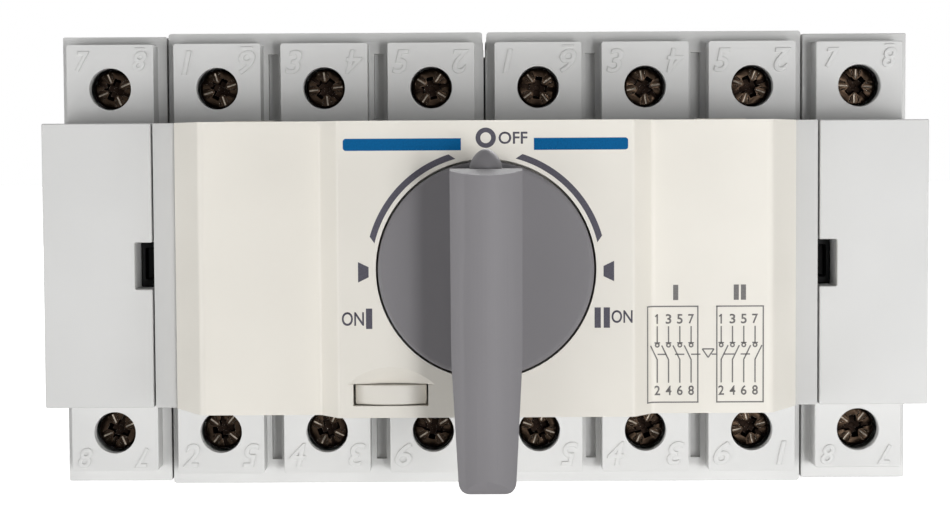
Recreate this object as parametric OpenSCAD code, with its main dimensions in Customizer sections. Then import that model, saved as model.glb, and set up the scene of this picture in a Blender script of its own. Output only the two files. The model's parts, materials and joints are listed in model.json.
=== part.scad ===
// Changeover switch for a 35 mm rail. Two three-pole switches stand side by side, each with an extra pole on its
// outer side, and one mechanism with a turning handle lies across both. Handle pointer up is off. Turned left it
// closes switch I, turned right it closes switch II.
//
// Each piece is drawn lying on its back: x to the right, y up the wall, z out of the front, in millimetres, with
// z = 0 on the front plane of the rail and x = y = 0 on the centre of the rail slot. upright() then stands it up.

/* [Poles] */
// Distance from one pole's centre to the next
pole_pitch = 17.5; // [17.2:0.1:18.5]
// Height of a three-pole switch
switch_h = 75; // [74:0.5:80]
// Height of an extra pole
extra_h = 74; // [73.5:0.5:80]
// Gap between the housings of neighbouring units
unit_gap = 0.3; // [0.2:0.05:0.5]

/* [Depths from the rail] */
// Front of the rear trays, where the contact housings start
split_z = 12; // [10:0.5:13]
// Shelf round the terminal blocks
shelf_z = 39; // [38.5:0.5:41]
// Face of the terminal blocks
block_z = 44; // [43:0.5:47]
// Front of the grey noses
nose_z = 57.2; // [55:0.2:62]
// Rear face behind the rail's front plane
seat_depth = 5.5; // [5:0.1:7]

/* [Housing] */
// Height of the noses
nose_h = 45; // [44:0.5:46]
// Outer wall of the noses and the cover
shell = 1.8; // [1.4:0.1:2.2]
// Width of a terminal block
block_w = 14.2; // [13.6:0.1:15]
// Step from the lower end of a housing to its terminal blocks
block_step = 2.4; // [1.5:0.1:3]
// Step from the upper end of a switch to its terminal blocks
upper_step = 1.9; // [1.2:0.1:3]
// Step from the upper end of an extra pole to its terminal block
extra_upper_step = 1.5; // [1.2:0.1:3]
// Wall between the arc chambers of neighbouring poles
pole_wall = 1.8; // [1.5:0.1:2.1]
// Width of the recess between terminals
barrier_w = 1.6; // [1.2:0.1:2]
// Depth of the recess between terminals
barrier_depth = 1.6; // [1:0.1:3]

/* [Terminals] */
// Height of the terminal screws above and below the middle
screw_y = 28.26; // [27.8:0.1:28.6]
// Bore over a screw head
well_d = 6.84; // [6.6:0.02:7.4]
// Diameter of a screw head
head_d = 6.2; // [5.8:0.1:6.4]
// Diameter of a screw thread
thread_d = 5; // [4:0.1:5]
// Depth of a screw head below the face of its block
head_drop = 3.9; // [2:0.1:5]
// Width of the clamp cage
cage_w = 12.2; // [11.6:0.1:12.4]
// Width of the conductor entry
entry_w = 10; // [9.8:0.1:11]

/* [Rail] */
// Width of the mounting rail
rail_w = 35; // [35:0.1:35.4]
// Travel of the rail latch
latch_travel = 3; // [2:0.1:3.2]

/* [Cover] */
// Width of the cover at its foot
cover_w = 97.6; // [96:0.2:100]
// Width of its raised flat
flat_w = 87.6; // [84:0.2:90]
// Width of the middle panel
panel_w = 44.8; // [43:0.2:48]
// Height of the flat above the noses
flat_rise = 9.8; // [9.4:0.1:12]
// Height of the panel above the flat
panel_rise = 4; // [3.4:0.1:5]

/* [Handle] */
// Radius of the round plate
plate_r = 16.35; // [15.5:0.05:16.6]
// Gap round the plate
plate_gap = 0.33; // [0.2:0.01:0.5]
// Width of the grip at the pointer end
grip_w = 10.4; // [9:0.1:11]
// Width of the grip at its free end
grip_end_w = 8.1; // [7:0.1:9]
// Reach of the grip below the axis
grip_reach = 31.1; // [28:0.1:34]
// Height of the grip above the panel
grip_rise = 20; // [17:0.2:24]
// Width across the flats of the square shaft
shaft_w = 5.4; // [5:0.1:5.5]

/* [Lock tab] */
// Width of the padlock tab
tab_w = 10.85; // [10:0.05:11.2]
// Thickness of the padlock tab
tab_t = 3; // [2.6:0.1:3.2]
// Travel of the padlock tab
tab_travel = 7.5; // [6.5:0.1:7.5]

/* [Gearing] */
// Tooth module of the transfer gears
gear_module = 0.85; // [0.8:0.01:0.85]
// Teeth on each transfer gear
gear_teeth = 12; // [12:1:12]
// Teeth on each carriage pinion
pinion_teeth = 9; // [9:1:9]

/* [Contacts] */
// Width of a moving contact bar
bar_w = 2.6; // [2.2:0.1:2.8]
// Height of a moving contact bar
bar_h = 4; // [3.6:0.1:4.2]
// Length of a moving contact bar
bar_l = 26; // [24:0.2:27]
// Thickness of the fixed contact strips
strip_t = 2; // [1.6:0.1:2.2]

/* [Hidden] */
$fn = 48;

main_poles = 3;
slack = 0.1;                 // sliding play between moulded pieces
cut = 0.5;                   // how far a cutting tool runs past a face
rear_z = -seat_depth;
main_half = main_poles * pole_pitch / 2;
extra_half = pole_pitch / 2;
switch_x = main_half;        // centre of each main switch, left and right
extra_x = 2 * main_half + extra_half;
chamber_w = pole_pitch - pole_wall;
chamber_y = 19.5;            // half height of an arc chamber
pocket_y = 23.6;             // inner end of a clamp pocket
pocket_end_y = 33;           // outer end of a clamp pocket
deck_z = shelf_z - 4;        // top of the deck over the arc chambers
deck_t = 4;
chamber_top = deck_z - deck_t;  // ceiling of the arc chambers, where the front shells start
floor_z = 2.5;               // floor of the arc chambers in the tray
screw_row = chamber_y + 2;   // height of the housing screws
housing_screw_r = 1.25;
housing_head_r = 2.1;
housing_screw_l = chamber_top - rear_z;
screw_sink = 2;              // depth of the recess for a rear screw's head

// Contacts
strip_z = split_z + 1.5;
bar_z = strip_z + strip_t + slack;
leaf_t = 1.3;
beam_z = bar_z + bar_h + 4;
beam_h = 6;
beam_y = 6.3;
jaw_room = 1.25;             // from the side of a closed bar to the wall of its chamber
carriage_travel = chamber_w / 2 - bar_w / 2 - jaw_room;
pitch_r = 2 * carriage_travel / PI;     // a quarter turn of the pinion moves the bars from open to closed
pinion_module = 2 * pitch_r / pinion_teeth;
jaw_y = bar_l / 2 - 3.5;
finger_w = chamber_w - 2 * carriage_travel - 4 * slack;
spring_bow = 1.6;            // room over a bar for its leaf spring
pin_r = 1.6;

// Terminals
cage_z = split_z - 0.7;
cage_top = chamber_top - 1.7;
cage_wall = 1.3;
cage_y = pocket_y + 0.4;
cage_l = 8.6;
head_z = block_z - head_drop;
head_h = 3.2;
head_edge = 0.5;
cross_w = 1.1;
cross_depth = 1.5;
screw_tail = 5;              // how far a screw reaches into its cage at rest
well_floor = chamber_top + 1;

// Mechanism
cover_z = nose_z;
flat_z = cover_z + flat_rise;
panel_z = flat_z + panel_rise;
plate_t = 1.7;               // thickness of the mechanism's base plate
gear_r = gear_module * gear_teeth / 2;
gear_h = 3.2;
gear_z = cover_z + 4;
cam_r = 8.4;
detent_t = 0.5;
detent_rise = 2.1;
detent_x = 16;
detent_y = -cam_r - 0.1 - detent_rise;
cam_z = cover_z + plate_t + 0.2;
cup_floor_z = gear_z + gear_h + 0.3;
cup_floor_t = 1.3;
rack_t = 3.1;
rack_h = 2.3;
rack_end = switch_x + gear_r * PI / 2 + 1.5;
journal_r = 2.5;
hub_r = 5.5;
rotor_r = 4.4;
crank_r = 9;

// Handle
handle_z = panel_z + 0.8;    // front of the round plate
grip_z = panel_z + grip_rise;
arch_r = 7;
grip_end_y = 15.3;          // flat end of the grip, which the pointer stands on
tab_x = -14.54;
tab_y = -nose_h / 2 + 3.47;
tab_hole_w = tab_w + 0.55;
tab_hole_h = tab_t + 0.3;
tab_foot_z = cover_z + plate_t + 0.1;
tab_foot_t = 1.2;
tab_stop_z = tab_foot_z + tab_foot_t + tab_travel + 0.3;
scoop_w = 13.2;
scoop_h = 2.6;
scoop_depth = 1.4;

housing_grey = "#d9dad9";
tray_grey = "#cfd1d1";
cream = "#e9e6db";
handle_grey = "#8b8a8e";

// Shared shapes
module upright() { rotate([90, 0, 0]) children(); }
module left_unit(x) { upright() translate([-x, 0, 0]) children(); }
module right_unit(x) { upright() translate([x, 0, 0]) mirror([1, 0, 0]) children(); }

function unit_vec(v) = v / norm(v);

// An arc of radius r in place of the corner p between its neighbours a and b
function corner_arc(a, p, b, r, steps = 6) =
  r == 0 ? [p] :
  let (u = unit_vec(a - p), v = unit_vec(b - p), half = acos(u * v) / 2,
       c = p + unit_vec(u + v) * r / sin(half),
       s = p + u * r / tan(half) - c, e = p + v * r / tan(half) - c,
       start = atan2(s[1], s[0]), turn = ((atan2(e[1], e[0]) - start + 540) % 360) - 180)
  [for (i = [0:steps]) c + r * [cos(start + turn * i / steps), sin(start + turn * i / steps)]];

// A closed outline from corners given as [x, y, radius]
function rounded(corners) =
  let (n = len(corners), at = function (i) [corners[(i + n) % n][0], corners[(i + n) % n][1]])
  [for (i = [0:n - 1]) each corner_arc(at(i - 1), at(i), at(i + 1), corners[i][2])];

function mirrored(half) =
  concat(half, [for (i = [len(half) - 1:-1:0]) [-half[i][0], half[i][1], half[i][2]]]);

function degrees(radians) = radians * 180 / PI;
function involute_of(angle) = tan(angle) - angle * PI / 180;

pressure_angle = 25;
tooth_play = 0.12;
function addendum(m) = 0.75 * m;
function dedendum(m) = m;
function tooth_half(m) = (PI * m / 2 - tooth_play) / 2;

// Half the angle that a gear tooth takes up at radius r
function tooth_angle(m, n, r) =
  let (base = m * n / 2 * cos(pressure_angle), here = acos(min(1, base / r)))
  degrees(tooth_half(m) / (m * n / 2) + involute_of(pressure_angle) - involute_of(here));

// A spur gear with a tooth pointing up the y axis
module gear_outline(m, n) {
  root = m * n / 2 - dedendum(m);
  tip = m * n / 2 + addendum(m);
  base = max(root, m * n / 2 * cos(pressure_angle));
  radii = [root, base, (base + tip) / 2, tip];
  polygon([for (i = [0:n - 1]) each concat(
    [for (r = radii) let (a = 90 + i * 360 / n - tooth_angle(m, n, max(r, base))) r * [cos(a), sin(a)]],
    [for (k = [3:-1:0]) let (r = radii[k], a = 90 + i * 360 / n + tooth_angle(m, n, max(r, base)))
      r * [cos(a), sin(a)]])]);
}

// Rack teeth that hang down from y = 0, which is their root line, with a space at x = 0
module rack_teeth(m, reach) {
  pitch = PI * m;
  foot = tooth_half(m) + dedendum(m) * tan(pressure_angle);
  tip = tooth_half(m) - addendum(m) * tan(pressure_angle);
  depth = addendum(m) + dedendum(m);
  count = floor((reach - foot) / pitch - 0.5);
  for (i = [-count - 1:count])
    translate([(i + 0.5) * pitch, 0])
      polygon([[-foot, 0.2], [-foot, 0], [-tip, -depth], [tip, -depth], [foot, 0], [foot, 0.2]]);
}

// Points of a coil round the z axis, from z = 0 to z = rise
function coil(r, rise, turns, per_turn = 12) =
  [for (i = [0:turns * per_turn]) let (a = i * 360 / per_turn)
    [r * cos(a), r * sin(a), rise * i / (turns * per_turn)]];

// Round wire along a path that is never steep in z
module wire(path, r, sides = 6) {
  n = len(path);
  points = [for (i = [0:n - 1], k = [0:sides - 1])
    let (along = unit_vec(path[min(i + 1, n - 1)] - path[max(i - 1, 0)]),
         out = unit_vec([along[1], -along[0], 0]), up = cross(out, along), b = k * 360 / sides)
    path[i] + r * (cos(b) * out + sin(b) * up)];
  sides_of = [for (i = [0:n - 2], k = [0:sides - 1])
    let (a = i * sides + k, b = i * sides + (k + 1) % sides)
    each [[a, a + sides, b], [b, a + sides, b + sides]]];
  polyhedron(points, concat([[for (k = [0:sides - 1]) k]],
    sides_of, [[for (k = [sides - 1:-1:0]) (n - 1) * sides + k]]));
}

module pole_places(n) {
  for (i = [0:n - 1]) translate([(i - (n - 1) / 2) * pole_pitch, 0, 0]) children();
}
module wall_places(n) {
  if (n > 1) for (i = [0:n - 2]) translate([(i - (n - 2) / 2) * pole_pitch, 0, 0]) children();
}
module both_ends() {
  children();
  mirror([0, 1, 0]) children();
}
module screw_places(n) {
  if (n > 1) wall_places(n) both_ends() translate([0, screw_row, 0]) children();
  else for (s = [-1, 1]) translate([s * (chamber_w / 2 - 1.8), s * screw_row, 0]) children();
}

// Outline of a unit of n poles seen from the front. A switch is set in at the upper corner beside the other switch
module unit_outline(half, h, n) {
  relief = 0.2;
  relief_l = 2.9;
  r = n > 1 ? 0.5 : 0.25;
  inner = n > 1 ? [[half, h / 2 - relief_l, 0], [half - relief, h / 2 - relief_l, 0], [half - relief, h / 2, r]]
                : [[half, h / 2, r]];
  polygon(rounded(concat([[-half, -h / 2, r], [half, -h / 2, r]], inner, [[-half, h / 2, r]])));
}

// Rear tray of n poles, with the rail slot, the chamber floors and the seats of the clamps
module tray(n, h, latched) {
  half = n * pole_pitch / 2;
  color(tray_grey) difference() {
    translate([0, 0, rear_z]) linear_extrude(split_z - rear_z) unit_outline(half, h, n);
    rotate([90, 0, 90]) translate([0, 0, -half - cut]) linear_extrude(2 * half + 2 * cut) rail_slot();
    pole_places(n) {
      translate([-chamber_w / 2, -chamber_y, floor_z]) cube([chamber_w, 2 * chamber_y, split_z]);
      both_ends() translate([-cage_w / 2 - 0.3, pocket_y, cage_z - 0.1])
        cube([cage_w + 0.6, pocket_end_y - pocket_y, split_z]);
    }
    screw_places(n) {
      translate([0, 0, rear_z - cut]) cylinder(r = housing_screw_r + 0.15, h = split_z - rear_z + 2 * cut);
      translate([0, 0, rear_z - cut]) cylinder(r = housing_head_r + 0.2, h = screw_sink + cut);
    }
    if (latched) latch_groove();
  }
  if (latched) color(tray_grey)
    translate([-latch_slot_w / 2 + 0.3, latch_spring_y - stop_t, latch_z + 0.2])
      cube([latch_slot_w - 0.6, stop_t, latch_t + cut]);
}

module rail_slot() {
  lip = 1.3;
  polygon([[-rail_w / 2 - 1.2, rear_z - cut], [rail_w / 2 - lip, rear_z - cut], [rail_w / 2 - lip, -1.6],
           [rail_w / 2 + 1.1, -1.6], [rail_w / 2 + 1.1, 0], [-rail_w / 2 - 1.2, 0]]);
}

latch_w = 12;
latch_z = -4;
latch_t = 2.3;
latch_top = -rail_w / 2 + 1.7;
latch_end = -switch_h / 2 + 0.4;

module latch_groove() {
  reach = -rail_w / 2 + switch_h / 2;
  translate([-latch_w / 2 - slack, -switch_h / 2 - cut, latch_z - slack])
    cube([latch_w + 2 * slack, reach + cut, latch_t + 2 * slack]);
  translate([-latch_w / 2 + 1.5, -switch_h / 2 - cut, rear_z - cut])
    cube([latch_w - 3, reach + cut, latch_z - rear_z + 2 * cut]);
}

// Sliding latch that hooks the rail's lower edge, with a slot at its end for a screwdriver
module rail_latch() {
  color("#3a3b3d") difference() {
    union() {
      translate([-latch_w / 2, latch_end, latch_z]) cube([latch_w, latch_top - latch_end, latch_t]);
      translate([-latch_w / 2 + 1.7, latch_end, rear_z + 0.2])
        cube([latch_w - 3.4, latch_spring_y - stop_t - 1.5 - latch_end, latch_z - rear_z]);
    }
    translate([0, latch_top, latch_z]) rotate([45, 0, 0]) cube([latch_w + 2, 1.6, 1.6], center = true);
    translate([0, latch_end + 2.6, latch_z]) cube([5, 1.4, 2 * latch_t + 3], center = true);
    translate([-latch_slot_w / 2, latch_spring_y - stop_t - slack, latch_z - cut])
      cube([latch_slot_w, latch_spring_l + stop_t + 2 * slack, latch_t + 2 * cut]);
  }
}
latch_spring_y = -switch_h / 2 + 8;
latch_spring_l = latch_travel + 5;
latch_slot_w = 3.4;
stop_t = 1.2;

// Contact housing of n poles: arc chambers, clamp pockets and conductor entries
module contact_housing(n, h) {
  half = n * pole_pitch / 2 - unit_gap / 2;
  color(housing_grey) difference() {
    translate([0, 0, split_z]) linear_extrude(chamber_top - split_z) unit_outline(half, h, n);
    pole_places(n) {
      translate([-chamber_w / 2, -chamber_y, split_z - cut])
        cube([chamber_w, 2 * chamber_y, chamber_top - split_z + 2 * cut]);
      both_ends() terminal_cavity(h);
    }
    wall_places(n) translate([-pole_pitch / 4, -beam_y - slack, beam_z - slack])
      cube([pole_pitch / 2, 2 * (beam_y + slack), beam_h + 2 * slack]);
    screw_places(n) translate([0, 0, split_z - cut])
      cylinder(r = housing_screw_r + 0.15, h = chamber_top - split_z + 2 * cut);
    side = n > 1 ? -1 : 1;
    translate([side * half, 0, beam_z + beam_h / 2]) rotate([0, 90, 0])
      cylinder(r = pin_r + 0.3, h = 4, center = true);
  }
}

// Front shell of n poles: the deck over the arc chambers and the terminal blocks with their screw wells
module front_shell(n, h, step_up) {
  half = n * pole_pitch / 2 - unit_gap / 2;
  upper = h / 2 - step_up;
  lower = h / 2 - block_step;
  color(housing_grey) difference() {
    union() {
      translate([0, 0, chamber_top]) linear_extrude(shelf_z - chamber_top) unit_outline(half, h, n);
      pole_places(n) {
        terminal_block(upper);
        lower_end() terminal_block(lower);
      }
    }
    translate([-half - cut, -nose_h / 2, deck_z]) cube([2 * half + 2 * cut, nose_h, block_z]);
    pole_places(n) both_ends() screw_well();
    wall_places(n) {
      barrier_recess(upper);
      lower_end() barrier_recess(lower);
    }
    screw_places(n) translate([0, 0, chamber_top - cut]) cylinder(r = housing_screw_r + 0.05, h = deck_t - 1 + cut);
    if (n > 1) translate([0, 0, chamber_top - cut]) cylinder(r = rotor_r + slack, h = deck_t + 2 * cut);
  }
}

barrier_in = 0.7;
barrier_end = 1.6;

module barrier_recess(block_y) {
  translate([-barrier_w / 2, nose_h / 2 + barrier_in, shelf_z - barrier_depth])
    cube([barrier_w, block_y - barrier_end - nose_h / 2 - barrier_in, barrier_depth + cut]);
}

module terminal_block(block_y) {
  rise = block_z - shelf_z;
  translate([0, 0, shelf_z - cut]) linear_extrude(rise + cut)
    polygon(rounded(mirrored([[block_w / 2, nose_h / 2 - cut, 0], [block_w / 2, block_y, 0.4]])));
}

// Pocket of one clamp, with the way in for its conductor
module terminal_cavity(h) {
  translate([-cage_w / 2 - 0.3, pocket_y, split_z - cut])
    cube([cage_w + 0.6, pocket_end_y - pocket_y, cage_top + 0.5 - split_z + cut]);
  translate([-strip_w / 2 - slack, chamber_y - cut, split_z - cut])
    cube([strip_w + 2 * slack, pocket_y - chamber_y + 2 * cut, strip_z + strip_t + slack - split_z + cut]);
  translate([-entry_w / 2, pocket_end_y - cut, strip_z + strip_t + 0.2])
    cube([entry_w, h / 2 - pocket_end_y + 2 * cut, cage_top - 2.6 - strip_z - strip_t]);
  translate([0, screw_y, cage_top]) cylinder(r = thread_d / 2 + 0.3, h = block_z - cage_top);
}
strip_w = 9;
block_wall = 2;
room_step = 1.1;

// Bore over a screw, with a wider room behind the wall of the block
module screw_well() {
  translate([0, screw_y, well_floor]) cylinder(d = well_d, h = block_z);
  translate([0, screw_y, well_floor]) cylinder(d = well_d + 2 * room_step, h = block_z - block_wall - well_floor);
  translate([0, screw_y, cage_top]) cylinder(r = thread_d / 2 + 0.3, h = block_z - cage_top);
}

// Hollow cap over a unit's switching mechanism
module nose_cap(n) {
  half = n * pole_pitch / 2 - unit_gap / 2;
  inner = nose_z - shell;
  color(housing_grey) difference() {
    translate([0, 0, deck_z]) linear_extrude(nose_z - deck_z)
      polygon(rounded(concat(mirrored([[half, -nose_h / 2, 0.25], [half, nose_h / 2, 0.25]]))));
    difference() {
      translate([-half + shell, -nose_h / 2 + shell, deck_z - cut])
        cube([2 * (half - shell), nose_h - 2 * shell, inner - deck_z + cut]);
      if (n == 1) translate([half - clip_w - 1.4, -clip_h / 2 - 1.2, clip_floor - 1.2])
        cube([clip_w + 2, clip_h + 2.4, nose_z]);
    }
    if (n == 1) translate([half - clip_w, -clip_h / 2, clip_floor]) cube([clip_w + cut, clip_h, nose_z]);
    else {
      translate([0, 0, inner - cut]) cylinder(r = rotor_r + slack, h = shell + 2 * cut);
      for (x = [plate_screw_x, plate_screw_in]) for (y = [-1, 1])
        translate([switch_x - x, y * plate_screw_y, inner - cut])
          cylinder(r = plate_screw_r + 0.05, h = shell + 2 * cut);
    }
  }
}
clip_w = 2.75;
clip_h = 7.4;
clip_floor = 44;
plate_screw_x = 40;
plate_screw_in = 4;
plate_screw_y = nose_h / 2 - 5.5;
plate_screw_r = 1.25;
plate_screw_l = 5;

// Black clip that ties an extra pole to its switch, seen at the bottom of the notch
module joining_clip() {
  half = extra_half - unit_gap / 2;
  color("#141414") difference() {
    translate([half - clip_w, -clip_h / 2, clip_floor]) cube([clip_w, clip_h, 7]);
    translate([half - clip_w / 2, 0, clip_floor + 6.2]) cube([1.2, clip_h - 2.4, 2.4], center = true);
  }
}

module terminal_screw() {
  color("#5d4c42") translate([0, screw_y, 0]) difference() {
    union() {
      translate([0, 0, head_z - head_h]) cylinder(d = head_d, h = head_h - head_edge);
      translate([0, 0, head_z - head_edge]) cylinder(d1 = head_d, d2 = head_d - 1.6 * head_edge, h = head_edge);
      translate([0, 0, cage_top - screw_tail]) cylinder(d = thread_d, h = head_z - head_h - cage_top + screw_tail);
    }
    for (a = [0, 90]) rotate(a) translate([0, 0, head_z])
      cube([head_d - 2.4 * head_edge, cross_w, 2 * cross_depth], center = true);
  }
}

// Square loop that the screw draws up against the conductor
module clamp_cage() {
  bottom = 1.8;
  top = 3;
  color("#b9b4a6") difference() {
    translate([-cage_w / 2, cage_y, cage_z]) cube([cage_w, cage_l, cage_top - cage_z]);
    translate([-cage_w / 2 + cage_wall, cage_y - cut, cage_z + bottom])
      cube([cage_w - 2 * cage_wall, cage_l + 2 * cut, cage_top - cage_z - bottom - top]);
    translate([0, screw_y, cage_z + bottom + 1]) cylinder(r = thread_d / 2 + 0.03, h = cage_top);
  }
}

// Strip from a clamp to the jaw that takes a moving bar
module fixed_contact() {
  jaw_in = carriage_travel - bar_w / 2 - 0.1;
  jaw_out = carriage_travel + bar_w / 2 + 0.75;
  color("#c98b5a") {
    translate([0, 0, strip_z]) linear_extrude(strip_t) polygon([
      [-jaw_out, jaw_y], [-jaw_in, jaw_y], [-jaw_in, chamber_y - 3], [strip_w / 2, chamber_y - 1],
      [strip_w / 2, cage_y + cage_l - 0.4], [-strip_w / 2, cage_y + cage_l - 0.4],
      [-strip_w / 2, chamber_y - 1], [-jaw_out, chamber_y - 3]]);
    translate([-jaw_out, jaw_y, strip_z + strip_t - cut])
      cube([0.7, 4, bar_h + 2 * slack + leaf_t + cut]);
    translate([-jaw_out, jaw_y, bar_z + bar_h + slack]) cube([jaw_out - jaw_in, 4, leaf_t]);
  }
}

module arc_plates() {
  color("#8f9296") for (i = [0:2])
    translate([-chamber_w / 2, jaw_y + arc_in, bar_z + bar_h + arc_first + arc_pitch * i])
      cube([chamber_w, chamber_y - jaw_y - arc_in, arc_t]);
}

arc_in = 5;
arc_first = 3.5;
arc_pitch = 2.5;
arc_t = 0.8;

// Finger of a carriage, which holds one moving bar under its leaf spring
module finger() {
  difference() {
    translate([-finger_w / 2, -beam_y, bar_z - 1.3]) cube([finger_w, 2 * beam_y, beam_z + 0.5 - bar_z + 1.3]);
    translate([-bar_w / 2 - 0.05, -beam_y - cut, bar_z - 0.05])
      cube([bar_w + 0.1, 2 * beam_y + 2 * cut, bar_h + spring_bow + 0.05]);
  }
}

// Carriage that moves three bars sideways, driven by the pinion in its window
module carriage() {
  half = pole_pitch + finger_w / 2;
  window = pitch_r + addendum(pinion_module) + carriage_travel + 0.6;
  root_y = pitch_r + dedendum(pinion_module);
  color("#2f3a45") {
    difference() {
      union() {
        translate([-half, -beam_y, beam_z]) cube([2 * half, 2 * beam_y, beam_h]);
        pole_places(main_poles) finger();
      }
      translate([-window, -root_y, beam_z + 1]) cube([2 * window, 2 * root_y, beam_h]);
    }
    translate([0, root_y, beam_z + 0.5]) linear_extrude(beam_h - 0.5)
      rack_teeth(pinion_module, window - 0.2);
  }
}

module extra_carriage() {
  color("#2f3a45") {
    translate([-finger_w / 2, -beam_y, beam_z]) cube([finger_w, 2 * beam_y, beam_h]);
    finger();
  }
}

module coupling_pin() {
  from = pole_pitch + finger_w / 2;
  color("#9b9ea2") translate([-2 * pole_pitch + finger_w / 2, 0, beam_z + beam_h / 2]) rotate([0, 90, 0])
    cylinder(r = pin_r, h = 2 * pole_pitch - finger_w / 2 - from);
}

module moving_bar() {
  color("#d39a68") translate([-bar_w / 2, -bar_l / 2, bar_z]) cube([bar_w, bar_l, bar_h]);
}

// Bowed leaf that presses a moving bar into its jaws
module bar_spring() {
  t = 0.35;
  span = 5;
  rise = spring_bow - t;
  function bow(y) = rise * (1 - pow(y / span, 2));
  color("#a9adb1") translate([0, 0, bar_z + bar_h]) rotate([90, 0, 90])
    linear_extrude(bar_w - 0.4, center = true) polygon(concat(
      [for (y = [-span:1:span]) [y, bow(y)]], [for (y = [span:-1:-span]) [y, bow(y) + t]]));
}

// Rotor from the transfer gear down to the carriage pinion, with the crank of the snap mechanism
module rotor() {
  color("#e4e1d6") {
    translate([0, 0, beam_z + 1.2]) linear_extrude(beam_h - 0.9) gear_outline(pinion_module, pinion_teeth);
    translate([0, 0, beam_z + beam_h + 0.1]) cylinder(r = rotor_r - 1, h = 0.5);
    translate([0, 0, beam_z + beam_h + 0.4]) cylinder(r = rotor_r, h = nose_z - beam_z - beam_h - 0.4);
    translate([0, 0, deck_z + 0.3]) difference() {
      cylinder(r = crank_r + 2.6, h = 3);
      for (a = [30, 90, 150]) rotate(a) translate([crank_r - 1, 0, -cut]) cylinder(r = 1.8, h = 4);
    }
    translate([0, -crank_r, deck_z + 3]) cylinder(r = 1.5, h = 7);
    translate([0, 0, (nose_z + gear_z + gear_h) / 2])
      cube([shaft_w, shaft_w, gear_z + gear_h - nose_z + 0.01], center = true);
  }
}

// Gear on the top of a rotor, turned to mesh with the rack at its own place along it
module rotor_gear(x) {
  color("#b7b3a4") difference() {
    translate([0, 0, gear_z]) linear_extrude(gear_h) rotate(degrees(x / gear_r))
      gear_outline(gear_module, gear_teeth);
    translate([0, 0, gear_z]) cube([shaft_w + 0.05, shaft_w + 0.05, 3 * gear_h], center = true);
  }
}

// Snap spring round the rotor: its first leg is held in the nose, its last leg ends beside the crank
module snap_spring() {
  r = rotor_r + 1.3;
  turns = 4;
  rise = 5;
  anchor = [r, -nose_h / 2 + shell + 0.5, 0];
  path = concat([anchor, [r, -7, 0]], coil(r, rise, turns), [[r, 3, rise]]);
  color("#b9bcc0") translate([0, 0, deck_z + 4.6]) mirror([0, 1, 0]) wire(path, 0.45);
}

module latch_spring() {
  r = 0.8;
  wire_r = 0.22;
  color("#b9bcc0") translate([0, latch_spring_y + wire_r, latch_z + latch_t / 2]) rotate([-90, 0, 0])
    wire(coil(r, latch_spring_l - 2 * wire_r, 7, 10), wire_r, 5);
}

// Plate that carries the gears and the rack, screwed across both noses
module mechanism_base() {
  inner_y = nose_h / 2 - shell + 0.2;
  rack_top = gear_r + dedendum(gear_module) + rack_t + slack;
  rib_z = cover_z + plate_t - cut;
  color("#c9cbc8") difference() {
    union() {
      translate([-cover_w / 2 + plate_inset, -inner_y, cover_z])
        cube([cover_w - 2 * plate_inset, 2 * inner_y, plate_t]);
      for (s = [-1, 1]) {
        translate([s * rib_x, rack_top + 0.8, (rib_z + gear_z + gear_h) / 2])
          cube([rib_l, 1.6, gear_z + gear_h - rib_z], center = true);
        translate([s * rib_x, rack_top - 0.4, (rib_z + gear_z) / 2]) cube([rib_l, 4, gear_z - rib_z], center = true);
        translate([s * detent_x - 2.9 * (s + 1) / 2, detent_y - detent_t - 2, rib_z])
          cube([2.9, 2, cam_z + cam_h - rib_z]);
        translate([tab_x + s * (tab_w / 2 + 1.9) - 0.6, 0.1 - inner_y, rib_z])
          cube([1.2, tab_y + tab_t / 2 + inner_y, 5]);
      }
    }
    translate([0, 0, cover_z - cut]) cylinder(r = journal_r + slack, h = plate_t + 2 * cut);
    for (s = [-1, 1]) {
      translate([s * switch_x, 0, cover_z - cut]) cylinder(r = rotor_r, h = plate_t + 2 * cut);
      for (x = [plate_screw_x, plate_screw_in]) for (y = [-1, 1])
        translate([s * x, y * plate_screw_y, cover_z - cut]) cylinder(r = 1.6, h = plate_t + 2 * cut);
    }
  }
}
plate_inset = 2.2;           // from the cover's foot to the end of the base plate
rib_x = 22;
rib_l = 14;
cam_h = 1.8;

// Flat spring whose nose drops into the cam's notches at off, I and II, drawn as it rides on the rim between them
module detent_spring() {
  half = [[0.7, detent_y + detent_rise], [3.4, detent_y + 0.5], [detent_x, detent_y]];
  line = concat([for (i = [2:-1:0]) [-half[i][0], half[i][1]]], half);
  color("#b9bcc0") translate([0, 0, cam_z + 0.1]) linear_extrude(cam_h - 0.2)
    polygon(concat(line, [for (i = [len(line) - 1:-1:0]) line[i] - [0, detent_t]]));
}

// Outline of the cover seen along y, set in by t
function cover_outline(t) = rounded(mirrored([
  [cover_w / 2 - 1.1 * t, cover_z - (t > 0 ? cut : 0), 0],
  [cover_w / 2 - 1.1 * t, cover_z + 1, t > 0 ? 0 : 0.8],
  [flat_w / 2 - 0.6 * t, flat_z - t, 1.6],
  [panel_w / 2 + 3 - 0.6 * t, flat_z - t, 1],
  [panel_w / 2 - 0.6 * t, panel_z - t, 0.8]]));

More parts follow.
